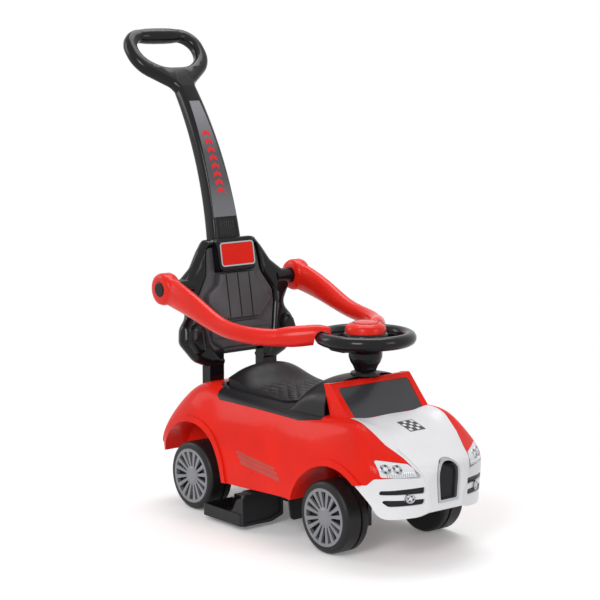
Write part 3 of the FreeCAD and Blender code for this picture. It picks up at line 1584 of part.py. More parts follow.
def arm_curve():
    """Centre line of the left arm, from its pivot round to the steering wheel."""
    tip_x = column_x - 33
    poles = [
        V(pivot_x, 155, pivot_z), V(pivot_x + 70, 158, pivot_z - 14), V(rear_axle_x + 103, 153, 362),
        V(rear_axle_x + 175, 155, 357), V(rear_axle_x + 236, 122, 352), V(tip_x, 52, 366),
    ]
    curve = Part.BSplineCurve()
    curve.buildFromPoles(poles, False, 3)
    return curve


def arm_section(curve, share, width, height):
    """Cross section of an arm: a many-sided oval square to its centre line."""
    first = curve.FirstParameter
    last = curve.LastParameter
    u = first + (last - first) * share
    point = curve.value(u)
    along = curve.tangent(u)[0]
    side = along.cross(Z_AXIS).normalize()
    up = side.cross(along).normalize()
    corners = []
    for i in range(arm_sides):
        angle = 2 * math.pi * (i + 0.5) / arm_sides
        corners.append(point + side * (math.cos(angle) * width / 2) + up * (math.sin(angle) * height / 2))
    return Part.makePolygon(corners + corners[:1])


def make_arm(side):
    curve = arm_curve()
    h = arm_height
    root = arm_root_height
    w = arm_width
    sections = [
        (0.02, w + 2, root), (0.12, w + 2, mix(h, root, 0.75)), (0.26, w + 1, mix(h, root, 0.36)),
        (0.42, w, mix(h, root, 0.08)), (0.6, w, h), (0.76, w, h), (0.88, w + 1, h + 1),
    ]
    arm = smooth_loft([arm_section(curve, *s) for s in sections])
    cw = arm_collar_width
    ch = arm_collar_height
    collar_sections = [
        (0.86, w + 1, h + 1), (0.9, cw, ch), (0.95, cw, ch), (0.985, 0.84 * cw, 0.84 * ch),
        (1.0, 0.5 * cw, 0.5 * ch),
    ]
    collar = smooth_loft([arm_section(curve, *s) for s in collar_sections])
    head = pivot_turned(rounded_ends(arm_head_radius, arm_inner_y, arm_outer_y, arm_head_round,
                                     arm_head_round))
    arm = arm.fuse(head).fuse(collar)
    arm = arm.cut(arm_notch())
    arm = arm.cut(rod(pivot_radius + pivot_gap, V(pivot_x, 0, pivot_z), V(pivot_x, 300, pivot_z)))
    arm = arm.cut(rod(arm_cap_radius + 0.4, V(pivot_x, arm_outer_y - arm_cap_depth, pivot_z),
                      V(pivot_x, 300, pivot_z)))
    return arm.removeSplitter() if side > 0 else mirrored(arm.removeSplitter())


def arm_notch():
    """Saddle cut that lets an arm tip straddle the steering wheel rim."""
    r = rim_radius
    t = rim_tube + arm_notch_gap
    low = wheel_z - 60
    trough = turned(ring_profile([(20, low), (r + t + 2, low), (r + t, wheel_z), (r - t, wheel_z),
                                  (r - t, arm_lip_z),
                                  (20, arm_lip_z)], column_x, 0), V(column_x, 0, 0), Z_AXIS)
    return trough.fuse(rim_ring(t))


# Push handle

def handle_base():
    return back_place(0, back_height, -handle_set_back)


def handle_place(lean, y, n):
    """Handle frame: a lean angle along the bend, y across, n forward of the centre line."""
    a = math.radians(lean)
    a0 = math.radians(back_lean)
    base = handle_base()
    x = base.x + handle_bend_radius * (math.cos(a) - math.cos(a0)) + n * math.cos(a)
    z = base.z + handle_bend_radius * (math.sin(a) - math.sin(a0)) + n * math.sin(a)
    return V(x, y, z)


def handle_share(lean):
    return (lean - back_lean) / (handle_neck_lean - back_lean)


def handle_section(lean, width, n0, n1, ease):
    """Cross section of the handle: a rectangle with eased corners."""
    half = width / 2
    near = 0.3 * ease
    right = [(half - ease, n0), (half - near, n0 + near), (half, n0 + ease),
             (half, n1 - ease), (half - near, n1 - near), (half - ease, n1)]
    ring = right + [(-y, n) for y, n in reversed(right)] if ease > 0 else [
        (half, n0), (half, n1), (-half, n1), (-half, n0)]
    points = [handle_place(lean, y, n) for y, n in ring]
    return Part.makePolygon(points + points[:1])


def handle_widths(lean):
    share = handle_share(lean)
    width = mix(handle_foot_width, handle_neck_width, share)
    depth = mix(handle_foot_depth, handle_neck_depth, share)
    return width, depth


def tongue_block(grow):
    n = -handle_set_back
    return block(-handle_tongue_width / 2 - grow, handle_tongue_width / 2 + grow,
                 back_height - handle_tongue_length - grow, back_height + 4,
                 n - handle_tongue_depth / 2 - grow, n + handle_tongue_depth / 2 + grow)


def panel_loft(grow, lift):
    sections = []
    span = handle_neck_lean - back_lean
    steps = 4
    for i in range(steps + 1):
        lean = mix(panel_foot_lean - grow * 0.09, panel_neck_lean + grow * 0.09, i / steps)
        share = (lean - panel_foot_lean) / (panel_neck_lean - panel_foot_lean)
        width = mix(panel_foot_width, panel_neck_width, share) + 2 * grow
        depth = mix(handle_foot_depth, handle_neck_depth, (lean - back_lean) / span)
        sections.append(handle_section(lean, width, depth / 2 - panel_thickness - 1 - 0.3 * grow,
                                       depth / 2 - 1 + lift, 0))
    return smooth_loft(sections)


def loop_place(u, v, n):
    """Loop frame: u across, v up along the loop, n forward of its middle plane."""
    lean = math.radians(handle_loop_lean)
    neck = handle_place(handle_neck_lean, 0, 0)
    return neck + V(-math.sin(lean), 0, math.cos(lean)) * v + V(math.cos(lean), 0,
                                                                math.sin(lean)) * n + V(0, u, 0)


def make_handle():
    """Bent arm that carries a closed grip loop; its tongue slides in the backrest socket."""
    sections = []
    steps = 5
    for i in range(steps + 1):
        lean = mix(back_lean, handle_neck_lean, i / steps)
        width, depth = handle_widths(lean)
        sections.append(handle_section(lean, width, -depth / 2, depth / 2, 7.0))
    arm = smooth_loft(sections).cut(panel_loft(seam, 4))
    arm = arm.fuse(tongue_block(0))
    grip = turned(grip_profile(), loop_place(0, loop_bar, 0), Y_AXIS)
    return arm.fuse(make_loop()).fuse(grip)


def make_loop():
    """Closed hand loop with rounded edges inside and out."""
    t = loop_tube
    outer = mirror_outline([
        (loop_foot_half, -loop_foot_overlap, 6), (loop_foot_half + 8, 10, 16),
        (loop_half_width + t, loop_side - 4, 66),
        (loop_half_width + t, loop_bar + t, 46),
    ])
    hole = mirror_outline([
        (loop_hole_foot_half, loop_hole_foot, 58), (loop_half_width - t, loop_hole_foot + 26, 38),
        (loop_half_width - t, loop_bar - t, 24),
    ])
    rim = [(0.3, 0.02), (0.66, 0.16), (0.9, 0.42), (1.0, 0.72)]
    steps = [(-depth, inset) for depth, inset in reversed(rim)] + rim

    def layers(corners, sign):
        wires = []
        for depth, inset in steps:
            ring = inset_corners(corners, sign * inset * t)
            wires.append(rounded_wire(ring, lambda p: loop_place(p.x, p.y, depth * t)))
        return Part.makeLoft(wires, True, True)

    return layers(outer, 1).cut(layers(hole, -1))


def grip_profile():
    """Section of the hand grip on the top bar, fullest in its middle."""
    up = loop_place(0, 1, 0) - loop_place(0, 0, 0)
    middle = loop_place(0, loop_bar, 0)
    swell = [(1.0, 0.0), (0.9, 0.5), (0.6, 0.88), (0.25, 1.0)]
    edge = [(-grip_half_length * along, mix(loop_tube - 1, grip_bulge, share)) for along, share in swell]
    edge += [(-y, radius) for y, radius in reversed(edge)]
    ends = [(grip_half_length, 0), (-grip_half_length, 0)]
    points = [middle + V(0, y, 0) + up * radius for y, radius in edge + ends]
    return Part.Face(Part.makePolygon(points + points[:1]))


def make_handle_panel():
    return panel_loft(0, 0)


def side_name(stem, side):
    return stem + ("_left" if side > 0 else "_right")


def build():
    os.makedirs("parts", exist_ok=True)
    skin = Skin()
    save("body_shell", make_body_shell(skin))
    save("front_fascia", make_fascia(skin))
    save("windscreen", make_windscreen())
    save("grille_surround", make_grille_surround())
    save("grille_insert", make_grille_insert(skin))
    for side, lens, bowl in zip((-1, 1), make_lamp_lenses(skin), make_lamp_bowls(skin)):
        save(side_name("headlamp_lens", side), lens)
        save(side_name("headlamp_bowl", side), bowl)
    for side, grille, lamp in zip((-1, 1), make_fog_grilles(skin), make_fog_lamps()):
        save(side_name("fog_grille", side), grille)
        save(side_name("fog_lamp", side), lamp)
    save("seat_surround", make_seat_surround(skin))
    save("seat_lid", make_seat_lid())
    save("seat_hinge_pin", seat_pin_rod(0))
    save("storage_bin", make_bin())
    save("floor_pan", make_floor())
    save("front_axle_housing", make_housing())
    save("rear_axle", make_rear_axle())
    save("rear_axle_nuts", Part.makeCompound([make_axle_nut(rear_axle_x, side) for side in (-1, 1)]))
    save("backrest_shell", make_backrest())
    save("backrest_pad", make_pad())
    save("badge_plate", make_badge())
    save("badge_bezel", make_bezel())
    save("steering_bush", make_bush())
    save("steering_wheel", make_steering_wheel())
    save("steering_boss", make_steering_boss())
    save("sound_module", make_sound_module())
    save("steering_column", make_column())
    save("horn_pad", make_horn())
    save("tie_rod", make_tie_rod())
    save("handle_frame", make_handle())
    save("handle_panel", make_handle_panel())
    footrest = make_footrest()
    for side in (-1, 1):
        save(side_name("music_button", side), make_button(side))
        save(side_name("knuckle", side), make_knuckle(side))
        save(side_name("king_pin", side), make_kingpin(side))
        save(side_name("front_axle_nut", side), make_axle_nut(front_axle_x, side))
        save(side_name("front_wheel", side), make_wheel(front_axle_x, side))
        save(side_name("front_hub_cap", side), make_hub_cap(front_axle_x, side))
        save(side_name("rear_wheel", side), make_wheel(rear_axle_x, side))
        save(side_name("rear_hub_cap", side), make_hub_cap(rear_axle_x, side))
        save(side_name("guard_arm", side), make_arm(side))
        save(side_name("arm_pivot", side), make_pivot(side))
        save(side_name("footrest", side), footrest if side < 0 else mirrored(footrest))


if __name__ == "__main__":
    build()
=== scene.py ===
"""Looks of the push car with handle: materials, trim pieces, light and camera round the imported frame."""
import math
import bpy
from mathutils import Matrix, Vector
from mathutils.bvhtree import BVHTree


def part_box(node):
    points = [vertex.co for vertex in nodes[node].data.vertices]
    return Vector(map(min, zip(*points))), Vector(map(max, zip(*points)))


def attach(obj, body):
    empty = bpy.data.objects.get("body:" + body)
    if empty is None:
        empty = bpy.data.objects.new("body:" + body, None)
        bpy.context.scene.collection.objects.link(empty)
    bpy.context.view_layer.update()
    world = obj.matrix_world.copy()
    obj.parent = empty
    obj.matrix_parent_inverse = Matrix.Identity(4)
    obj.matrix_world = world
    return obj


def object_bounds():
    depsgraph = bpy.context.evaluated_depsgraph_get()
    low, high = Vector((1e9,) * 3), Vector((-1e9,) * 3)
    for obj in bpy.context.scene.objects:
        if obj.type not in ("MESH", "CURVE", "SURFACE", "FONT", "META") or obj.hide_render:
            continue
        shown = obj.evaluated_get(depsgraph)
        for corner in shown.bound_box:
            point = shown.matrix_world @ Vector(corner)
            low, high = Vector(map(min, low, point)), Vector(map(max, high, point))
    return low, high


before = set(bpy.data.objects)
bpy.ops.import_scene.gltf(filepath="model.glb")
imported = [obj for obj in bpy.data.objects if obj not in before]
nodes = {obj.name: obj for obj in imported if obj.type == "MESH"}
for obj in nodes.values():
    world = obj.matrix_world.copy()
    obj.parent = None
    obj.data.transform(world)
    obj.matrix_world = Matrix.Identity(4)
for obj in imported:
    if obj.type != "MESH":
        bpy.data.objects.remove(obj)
cad_low, cad_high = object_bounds()
MM = 0.001
SIDES = (("right", -1), ("left", 1))


def centre(node):
    low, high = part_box(node)
    return (low + high) / 2


rear_axle = centre("rear_wheel_left")
front_axle = centre("front_wheel_left")


# Materials

# Noise scales, in cycles per metre
DRIFT_SCALE = 14.0
POLISH_SCALE = 60.0
WAVE_SCALE = 16.0
GRAIN_SCALE = 1400.0

# Noise lies mostly between these two values
NOISE_LOW = 0.3
NOISE_HIGH = 0.7
NOISE_ROUGHNESS = 0.55

# Share by which the polish varies
POLISH_SPREAD = 0.12


def new_material(name):
    material = bpy.data.materials.new(name)
    material.use_nodes = True
    tree = material.node_tree
    shader = tree.nodes["Principled BSDF"]
    return material, tree, shader


def add(tree, kind, **values):
    node = tree.nodes.new(kind)
    for key, value in values.items():
        setattr(node, key, value)
    return node


def noise(tree, scale, detail):
    coords = add(tree, "ShaderNodeTexCoord")
    texture = add(tree, "ShaderNodeTexNoise")
    texture.inputs["Scale"].default_value = scale
    texture.inputs["Detail"].default_value = detail
    texture.inputs["Roughness"].default_value = NOISE_ROUGHNESS
    tree.links.new(coords.outputs["Object"], texture.inputs["Vector"])
    return texture.outputs["Fac"]


def ramp(tree, source, stops):
    node = add(tree, "ShaderNodeValToRGB")
    elements = node.color_ramp.elements
    elements[0].position, elements[0].color = stops[0][0], (*stops[0][1], 1)
    elements[1].position, elements[1].color = stops[-1][0], (*stops[-1][1], 1)
    for position, colour in stops[1:-1]:
        elements.new(position).color = (*colour, 1)
    tree.links.new(source, node.inputs["Fac"])
    return node.outputs["Color"]


def map_range(tree, source, from_range, to_range, interpolation="LINEAR"):
    node = add(tree, "ShaderNodeMapRange", interpolation_type=interpolation)
    node.inputs["From Min"].default_value, node.inputs["From Max"].default_value = from_range
    node.inputs["To Min"].default_value, node.inputs["To Max"].default_value = to_range
    tree.links.new(source, node.inputs["Value"])
    return node.outputs["Result"]


def bump(tree, shader, source, strength, distance):
    node = add(tree, "ShaderNodeBump")
    node.inputs["Strength"].default_value = strength
    node.inputs["Distance"].default_value = distance
    tree.links.new(source, node.inputs["Height"])
    tree.links.new(node.outputs["Normal"], shader.inputs["Normal"])


def tint(colour, factor):
    return tuple(min(1.0, c * factor) for c in colour)


def plastic(name, colour, rough, wave_height=0.0004, grain=0.0, variation=0.06, coat=0.0, metal=0.0,
            shine=0.5, coat_rough=0.06):
    """Moulded plastic: faint colour drift, uneven polish, slow moulding waves or a fine etched grain."""
    material, tree, shader = new_material(name)
    shades = [(NOISE_LOW, tint(colour, 1 - variation)), (NOISE_HIGH, tint(colour, 1 + variation))]
    tree.links.new(ramp(tree, noise(tree, DRIFT_SCALE, detail=2.0), shades), shader.inputs["Base Color"])
    polish = map_range(tree, noise(tree, POLISH_SCALE, detail=4.0), (NOISE_LOW, NOISE_HIGH),
                       (rough * (1 - POLISH_SPREAD), rough * (1 + POLISH_SPREAD)))
    tree.links.new(polish, shader.inputs["Roughness"])
    if grain > 0:
        bump(tree, shader, noise(tree, GRAIN_SCALE, detail=2.0), strength=0.5, distance=grain)
    else:
        bump(tree, shader, noise(tree, WAVE_SCALE, detail=1.5), strength=0.25, distance=wave_height)
    shader.inputs["Specular IOR Level"].default_value = shine
    shader.inputs["Coat Weight"].default_value = coat
    shader.inputs["Coat Roughness"].default_value = coat_rough
    shader.inputs["Metallic"].default_value = metal
    return material


def panel_plastic():
    """Grey inlay, paler toward its two ends, where a reflection of the light is painted into its colour."""
    material = plastic("panel_grey_and_sheen", (0.12, 0.12, 0.135), 0.26, coat=0.3, variation=0.05, wave_height=0.0001)
    tree = material.node_tree
    low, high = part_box("handle_panel")
    coords = add(tree, "ShaderNodeTexCoord")
    split = add(tree, "ShaderNodeSeparateXYZ")
    tree.links.new(coords.outputs["Object"], split.inputs["Vector"])
    height = map_range(tree, split.outputs["Z"], (low.z, high.z), (0.0, 1.0), "SMOOTHSTEP")
    # Painted reflection: pale at the inlay's top and foot, dark grey in between
    shade = ramp(tree, height, [(0.0, (0.14, 0.14, 0.155)), (0.25, (0.05, 0.05, 0.058)),
                                (0.6, (0.055, 0.055, 0.064)), (1.0, (0.22, 0.22, 0.24))])
    tree.links.new(shade, tree.nodes["Principled BSDF"].inputs["Base Color"])
    return material


RED = (0.78, 0.017, 0.008)

red = plastic("red_gloss", RED, 0.3, coat=0.09, shine=0.07)
red_tube = plastic("red_polished", RED, 0.34, coat=0.32, shine=0.08, wave_height=0.0001, coat_rough=0.2)
white = plastic("white_gloss", (0.79, 0.79, 0.81), 0.3, coat=0.1, shine=0.2, variation=0.01,
                wave_height=0.00012)
black = plastic("black_satin", (0.012, 0.0115, 0.0135), 0.36, grain=0.00003, shine=0.24)
black_gloss = plastic("black_polished", (0.006, 0.0058, 0.0075), 0.3, shine=0.05, coat=0.38,
                      wave_height=0.0001, coat_rough=0.11)
seat_black = plastic("seat_grain", (0.0105, 0.0095, 0.011), 0.4, grain=0.00008, shine=0.14)
pad_grey = plastic("pad_grain", (0.066, 0.062, 0.068), 0.34, grain=0.00006, variation=0.2, shine=0.34)
tyre = plastic("tyre_black", (0.011, 0.011, 0.012), 0.44, grain=0.00006, shine=0.26)
silver = plastic("cap_silver", (0.225, 0.23, 0.245), 0.34, metal=0.3, variation=0.03, shine=0.3)
screen = plastic("screen_film", (0.036, 0.036, 0.040), 0.22, coat=0.12, variation=0.12, shine=0.3)
lamp_white = plastic("lamp_face", (0.76, 0.77, 0.80), 0.14, coat=0.3, variation=0.04, shine=0.4)
chrome = plastic("bright_trim", (0.44, 0.45, 0.475), 0.16, metal=0.85, variation=0.05)
steel = plastic("zinc_steel", (0.40, 0.40, 0.41), 0.36, metal=0.9)
# Dark metal for the painted dark reflection in the lamp cups
lamp_dark_reflection = plastic("lamp_dark_reflection", (0.07, 0.073, 0.08), 0.22, metal=0.3, variation=0.1, shine=0.3)
decal_grey = plastic("decal_grey", (0.47, 0.065, 0.052), 0.34, variation=0.14, shine=0.2)
decal_black = plastic("decal_black", (0.016, 0.016, 0.018), 0.36, shine=0.3)
decal_red = plastic("decal_red", (0.74, 0.03, 0.035), 0.3, shine=0.2)
panel_grey_and_sheen = panel_plastic()


def dress(material, *names):
    for name in names:
        data = nodes[name].data
        data.materials.clear()
        data.materials.append(material)


def pair(stem):
    return [stem + "_right", stem + "_left"]


dress(red, "body_shell", "badge_plate")
dress(red_tube, "horn_pad", *pair("guard_arm"))
dress(white, "front_fascia")
dress(screen, "windscreen")
dress(lamp_white, *pair("headlamp_lens"))
dress(chrome, *pair("headlamp_bowl"), *pair("fog_lamp"), "grille_surround", "badge_bezel")
dress(black, "seat_surround", "storage_bin", "floor_pan", "steering_bush", "sound_module",
      "front_axle_housing", *pair("fog_grille"), *pair("footrest"))
dress(black_gloss, "steering_wheel", "steering_boss", "handle_frame", "backrest_shell", "grille_insert",
      *pair("music_button"), *pair("arm_pivot"))
dress(seat_black, "seat_lid")
dress(pad_grey, "backrest_pad")
dress(panel_grey_and_sheen, "handle_panel")
dress(tyre, *pair("front_wheel"), *pair("rear_wheel"))
dress(silver, *pair("front_hub_cap"), *pair("rear_hub_cap"))
dress(steel, "rear_axle", "rear_axle_nuts", "seat_hinge_pin", "steering_column", "tie_rod", *pair("king_pin"),
      *pair("front_axle_nut"), *pair("knuckle"))


# Even shading over the CAD surfaces: rounded faces run together, real edges stay crisp

# Angle in degrees from which an edge stays crisp, what weighs the normals, and how strongly
PLAIN_SHADING = (33, "FACE_AREA", 60)
TUBE_SHADING = (52, "CORNER_ANGLE", 50)
HANDLE_SHADING = (52, "FACE_AREA", 70)

TUBES = ("guard_arm_right", "guard_arm_left", "steering_wheel", "steering_boss", "horn_pad")


def even_out(node, angle, mode, weight):
    weld = node.modifiers.new("weld", "WELD")
    weld.merge_threshold = 0.01 * MM
    split = node.modifiers.new("edges", "EDGE_SPLIT")
    split.split_angle = math.radians(angle)
    split.use_edge_sharp = False
    normals = node.modifiers.new("normals", "WEIGHTED_NORMAL")
    normals.mode = mode
    normals.weight = weight


for name, node in nodes.items():
    if name == "handle_frame":
        even_out(node, *HANDLE_SHADING)
    elif name in TUBES:
        even_out(node, *TUBE_SHADING)
    else:
        even_out(node, *PLAIN_SHADING)


# Tools for pieces laid on the CAD surfaces

DOWN = Vector((0, 0, -1))
REARWARD = Vector((-1, 0, 0))
LEFTWARD = Vector((0, 1, 0))

# How far outside a node's box the search for its surface starts
REACH = 100 * MM

# Lift of a print off the surface under it
PRINT_LIFT = 0.25 * MM

# A rib with fewer points than this is left out
SHORTEST_RIB = 5

# Cross section of a rib, as shares of its half width and of its height
RIB_PROFILE = ((-1, -0.15), (-0.6, 0.65), (0, 1), (0.6, 0.65), (1, -0.15))


def surface(name):
    """Search tree over a CAD node."""
    data = nodes[name].data
    points = [v.co.copy() for v in data.vertices]
    faces = [list(p.vertices) for p in data.polygons]
    return BVHTree.FromPolygons(points, faces)


def first_hit(tree, start, direction):
    """Nearest surface point along a direction and its normal, turned toward the start, or None and None."""
    spot, normal = tree.ray_cast(start, direction)[:2]
    if spot is not None and normal.dot(direction) > 0:
        normal = -normal
    return spot, normal


def mesh_piece(name, points, faces, material, body):
    data = bpy.data.meshes.new(name)
    data.from_pydata(points, [], faces)
    data.materials.append(material)
    for polygon in data.polygons:
        polygon.use_smooth = True
    piece = bpy.data.objects.new(name, data)
    bpy.context.scene.collection.objects.link(piece)
    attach(piece, body)


def laid_row(tree, row, direction, lift):
    """Points dropped on a surface along a direction and lifted off it; None where they miss."""
    hits = []
    for point in row:
        spot, normal = first_hit(tree, point, direction)
        hits.append(None if spot is None else spot + normal * lift)
    return hits


def laid_piece(name, hits, material, body, keep=None):
    """Skin over rows of points; keep says which columns of it are made."""
    points = []
    index = {}
    faces = []
    for r, row in enumerate(hits):
        for c, point in enumerate(row):
            if point is not None:
                index[r, c] = len(points)
                points.append(point)
    for r in range(len(hits) - 1):
        for c in range(len(hits[r]) - 1):
            ring = [(r, c), (r, c + 1), (r + 1, c + 1), (r + 1, c)]
            if all(key in index for key in ring) and (keep is None or keep(c)):
                faces.append([index[key] for key in ring])
    mesh_piece(name, points, faces, material, body)


def ribbon(points, normals, half, height):
    """Cross sections of a low rounded rib along a line of surface points, lower at its two ends."""
    rows = []
    last = len(points) - 1
    for i in range(last + 1):
        along = (points[min(i + 1, last)] - points[max(i - 1, 0)]).normalized()
        side = along.cross(normals[i]).normalized()
        end = min(1.0, i / 2, (last - i) / 2)
        rows.append([points[i] + side * (half * a) + normals[i] * (height * (b * end if b > 0 else b))
                     for a, b in RIB_PROFILE])
    return rows


def rib_piece(name, lines, material, body, half, height):
    points = []
    faces = []
    width = len(RIB_PROFILE)
    for line in lines:
        rows = ribbon([p for p, n in line], [n for p, n in line], half, height)
        first = len(points)
        for row in rows:
            points += row
        for r in range(len(rows) - 1):
            for c in range(width - 1):
                a = first + r * width + c
                faces.append([a, a + 1, a + width + 1, a + width])
    mesh_piece(name, points, faces, material, body)


def dropped_line(tree, places, direction, keep):
    """Runs of surface points under a line of places; a run ends where keep says no."""
    runs = [[]]
    for place in places:
        spot, normal = first_hit(tree, place, direction)
        if spot is None or not keep(spot, normal):
            runs.append([])
        else:
            runs[-1].append((spot, normal))
    return [run for run in runs if len(run) >= SHORTEST_RIB]


# Trim pieces

def flank_stripes():
    """Plain printed stripes on the right flank; the photograph does not show the left one."""
    tree = surface("body_shell")
    slope = -0.1
    steps = 18
    lanes = 3
    # Start and end ahead of the rear axle, then the lower and upper edge at the start, all in mm
    stripes = ((140, 252, 133, 138), (147, 260, 125, 131), (154, 268, 116, 123))
    for number, (start, end, low, high) in enumerate(stripes):
        hits = []
        for i in range(lanes + 1):
            row = []
            for j in range(steps + 1):
                along = (end - start) * j / steps
                z = low + (high - low) * i / lanes + slope * along
                row.append(Vector((rear_axle.x + (start + along) * MM, cad_low.y - REACH, z * MM)))
            hits.append(laid_row(tree, row, LEFTWARD, PRINT_LIFT))
        laid_piece(f"flank_stripe_{number}_right", hits, decal_grey, "chassis")


def seat_quilting():
    """Quilted front half of the seat: diamond pillows with drawn-in lines between them."""
    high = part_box("seat_lid")[1]
    tree = surface("seat_lid")
    front = high.x - 8 * MM
    rear = front - 112 * MM
    half_width = 74 * MM
    border = 14 * MM
    step = 1.6 * MM
    rise = 1.5 * MM
    sink = 0.15 * MM
    diamond_length = 27 * MM
    diamond_width = 21 * MM
    fullness = 0.45
    least_upward = 0.45
    middle = (front + rear) / 2
    columns = int((front - rear) / step) + 1
    lanes = int(2 * half_width / step) + 1
    rows = []
    for i in range(columns):
        x = rear + i * step
        row = []
        for j in range(lanes):
            y = -half_width + j * step
            spot, normal = first_hit(tree, Vector((x, y, high.z + REACH)), DOWN)
            if spot is None or normal.z < least_upward:
                row.append(None)
                continue
            along = (x - middle) / diamond_length
            across = y / diamond_width
            pillow = abs(math.sin(math.pi * (along + across)) * math.sin(math.pi * (along - across)))
            inside = min((front - rear) / 2 - abs(x - middle), half_width - abs(y)) / border
            share = min(1.0, max(0.0, inside))
            row.append(spot + normal * (rise * pillow ** fullness * share - sink))
        rows.append(row)
    laid_piece("seat_quilt", rows, seat_black, "lid")


def panel_bars():
    """Row of plain chevrons printed on the handle inlay."""
    low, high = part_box("handle_panel")
    tree = surface("handle_panel")
    count = 8
    # Place of the lowest and the gap to the next, as shares of the inlay's height
    first = 0.24
    gap = 0.07
    column_step = 2.2 * MM
    row_step = 1.9 * MM
    slope = 0.55
    for k in range(count):
        z = low.z + (high.z - low.z) * (first + gap * k)
        hits = []
        for i in range(-2, 3):
            row = [Vector((high.x + REACH, j * column_step, z + i * row_step - slope * abs(j) * column_step))
                   for j in range(-4, 5)]
            hits.append(laid_row(tree, row, REARWARD, PRINT_LIFT))
        laid_piece(f"panel_bar_{k}", hits, decal_red, "handle")


def handle_ribs():
    """Upright ribs moulded on the handle between its inlay and its foot."""
    low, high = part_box("handle_panel")
    tree = surface("handle_frame")
    gap = 5 * MM
    step = 2 * MM
    points = 18
    top = low.z - 5 * MM
    least_forward = 0.6
    lines = []
    for k in range(-3, 4):
        places = [Vector((high.x + REACH, k * gap, top - i * step)) for i in range(points)]
        lines += dropped_line(tree, places, REARWARD, lambda spot, normal: normal.x > least_forward)
    rib_piece("handle_ribs", lines, black, "handle", half=1.2 * MM, height=0.9 * MM)


def bonnet_square(name, tree, middle, half, lift, material):
    steps = 3
    shares = [i / steps for i in range(-steps, steps + 1)]
    rows = [[middle + Vector((a * half, b * half, 0)) for b in shares] for a in shares]
    laid_piece(name, [laid_row(tree, row, DOWN, lift) for row in rows], material, "chassis")


def bonnet_patch():
    """Plain dark square on the bonnet with a chequer of pale squares."""
    tree = surface("front_fascia")
    middle = Vector((front_axle.x + 68 * MM, 3 * MM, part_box("front_fascia")[1].z + REACH))
    count = 4
    pitch = 8.2 * MM
    bonnet_square("bonnet_patch", tree, middle, half=18 * MM, lift=0.15 * MM, material=decal_black)
    for r in range(count):
        for c in range(count):
            if (r + c) % 2:
                place = middle + Vector((r - (count - 1) / 2, c - (count - 1) / 2, 0)) * pitch
                name = f"bonnet_check_{r}{c}"
                bonnet_square(name, tree, place, half=3.4 * MM, lift=0.3 * MM, material=white)


def lamp_cup(name, tree, place, radius):
    """Reflector cup with a small dome, bright and dark facets and a rim, pressed on a lamp face; the dark
    facets are a painted dark reflection in the chrome cup.
    """
    # Share of the radius and lift in mm: the dome's four rings, the cup's two, then the rim's
    rings = ((0.01, 1.7), (0.18, 1.6), (0.34, 1.1), (0.42, 0.3), (0.62, 0.35), (0.85, 0.9), (0.95, 1.1),
             (1.0, 0.1))
    count = 28
    group = 7
    bright = 4
    turns = [2 * math.pi * k / count for k in range(count + 1)]
    rows = []
    for share, lift in rings:
        row = [place + Vector((0, math.cos(turn), math.sin(turn))) * (radius * share) for turn in turns]
        rows.append(laid_row(tree, row, REARWARD, lift * MM))
    laid_piece(name + "_dome", rows[:4], lamp_white, "chassis")
    laid_piece(name + "_cup", rows[3:6], chrome, "chassis", lambda c: c % group < bright)
    # Dark facets between the chrome ones: painted dark reflection
    laid_piece(name + "_facets", rows[3:6], lamp_dark_reflection, "chassis", lambda c: c % group >= bright)
    laid_piece(name + "_rim", rows[5:], chrome, "chassis")


def lens_flutes(side_name, side):
    """Short upright flutes along the foot of a lamp face."""
    low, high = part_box("headlamp_lens_" + side_name)
    tree = surface("headlamp_lens_" + side_name)
    count = 13
    inner = 67 * MM
    gap = 3.4 * MM
    points = 9
    step = 1 * MM
    least_forward = 0.2
    lines = []
    for k in range(count):
        y = side * (inner + gap * k)
        places = [Vector((high.x + REACH, y, low.z + (1 + i) * step)) for i in range(points)]
        lines += dropped_line(tree, places, REARWARD, lambda spot, normal: normal.x > least_forward)
    rib_piece("lens_flutes_" + side_name, lines, chrome, "chassis", half=0.9 * MM, height=0.6 * MM)


def headlamp_details():
    # Distance from the middle, height and radius of the two cups in a headlamp, in mm
    cups = ((90, 167, 7.5), (107, 168, 8.0))
    fog_radius = 6.8 * MM
    for side_name, side in SIDES:
        tree = surface("headlamp_lens_" + side_name)
        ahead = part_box("headlamp_lens_" + side_name)[1].x + REACH
        for number, (y, z, radius) in enumerate(cups):
            place = Vector((ahead, side * y * MM, z * MM))
            lamp_cup(f"lamp_{number}_{side_name}", tree, place, radius * MM)
        lens_flutes(side_name, side)
        fog = centre("fog_lamp_" + side_name)
        fog_tree = surface("fog_lamp_" + side_name)
        lamp_cup("fog_" + side_name, fog_tree, Vector((ahead, fog.y, fog.z)), fog_radius)


def horn_ring():
    """Dark ring pressed round the horn cap."""
    low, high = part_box("horn_pad")
    middle = centre("horn_pad")
    share = 0.62
    radius = (high.x - low.x) / 2 * share
    count = 72
    turns = [2 * math.pi * k / count for k in range(count + 1)]
    places = [Vector((middle.x + radius * math.cos(turn), radius * math.sin(turn), high.z + REACH))
              for turn in turns]
    lines = dropped_line(surface("horn_pad"), places, DOWN, lambda spot, normal: True)
    rib_piece("horn_ring", lines, decal_black, "horn", half=1.3 * MM, height=0.7 * MM)


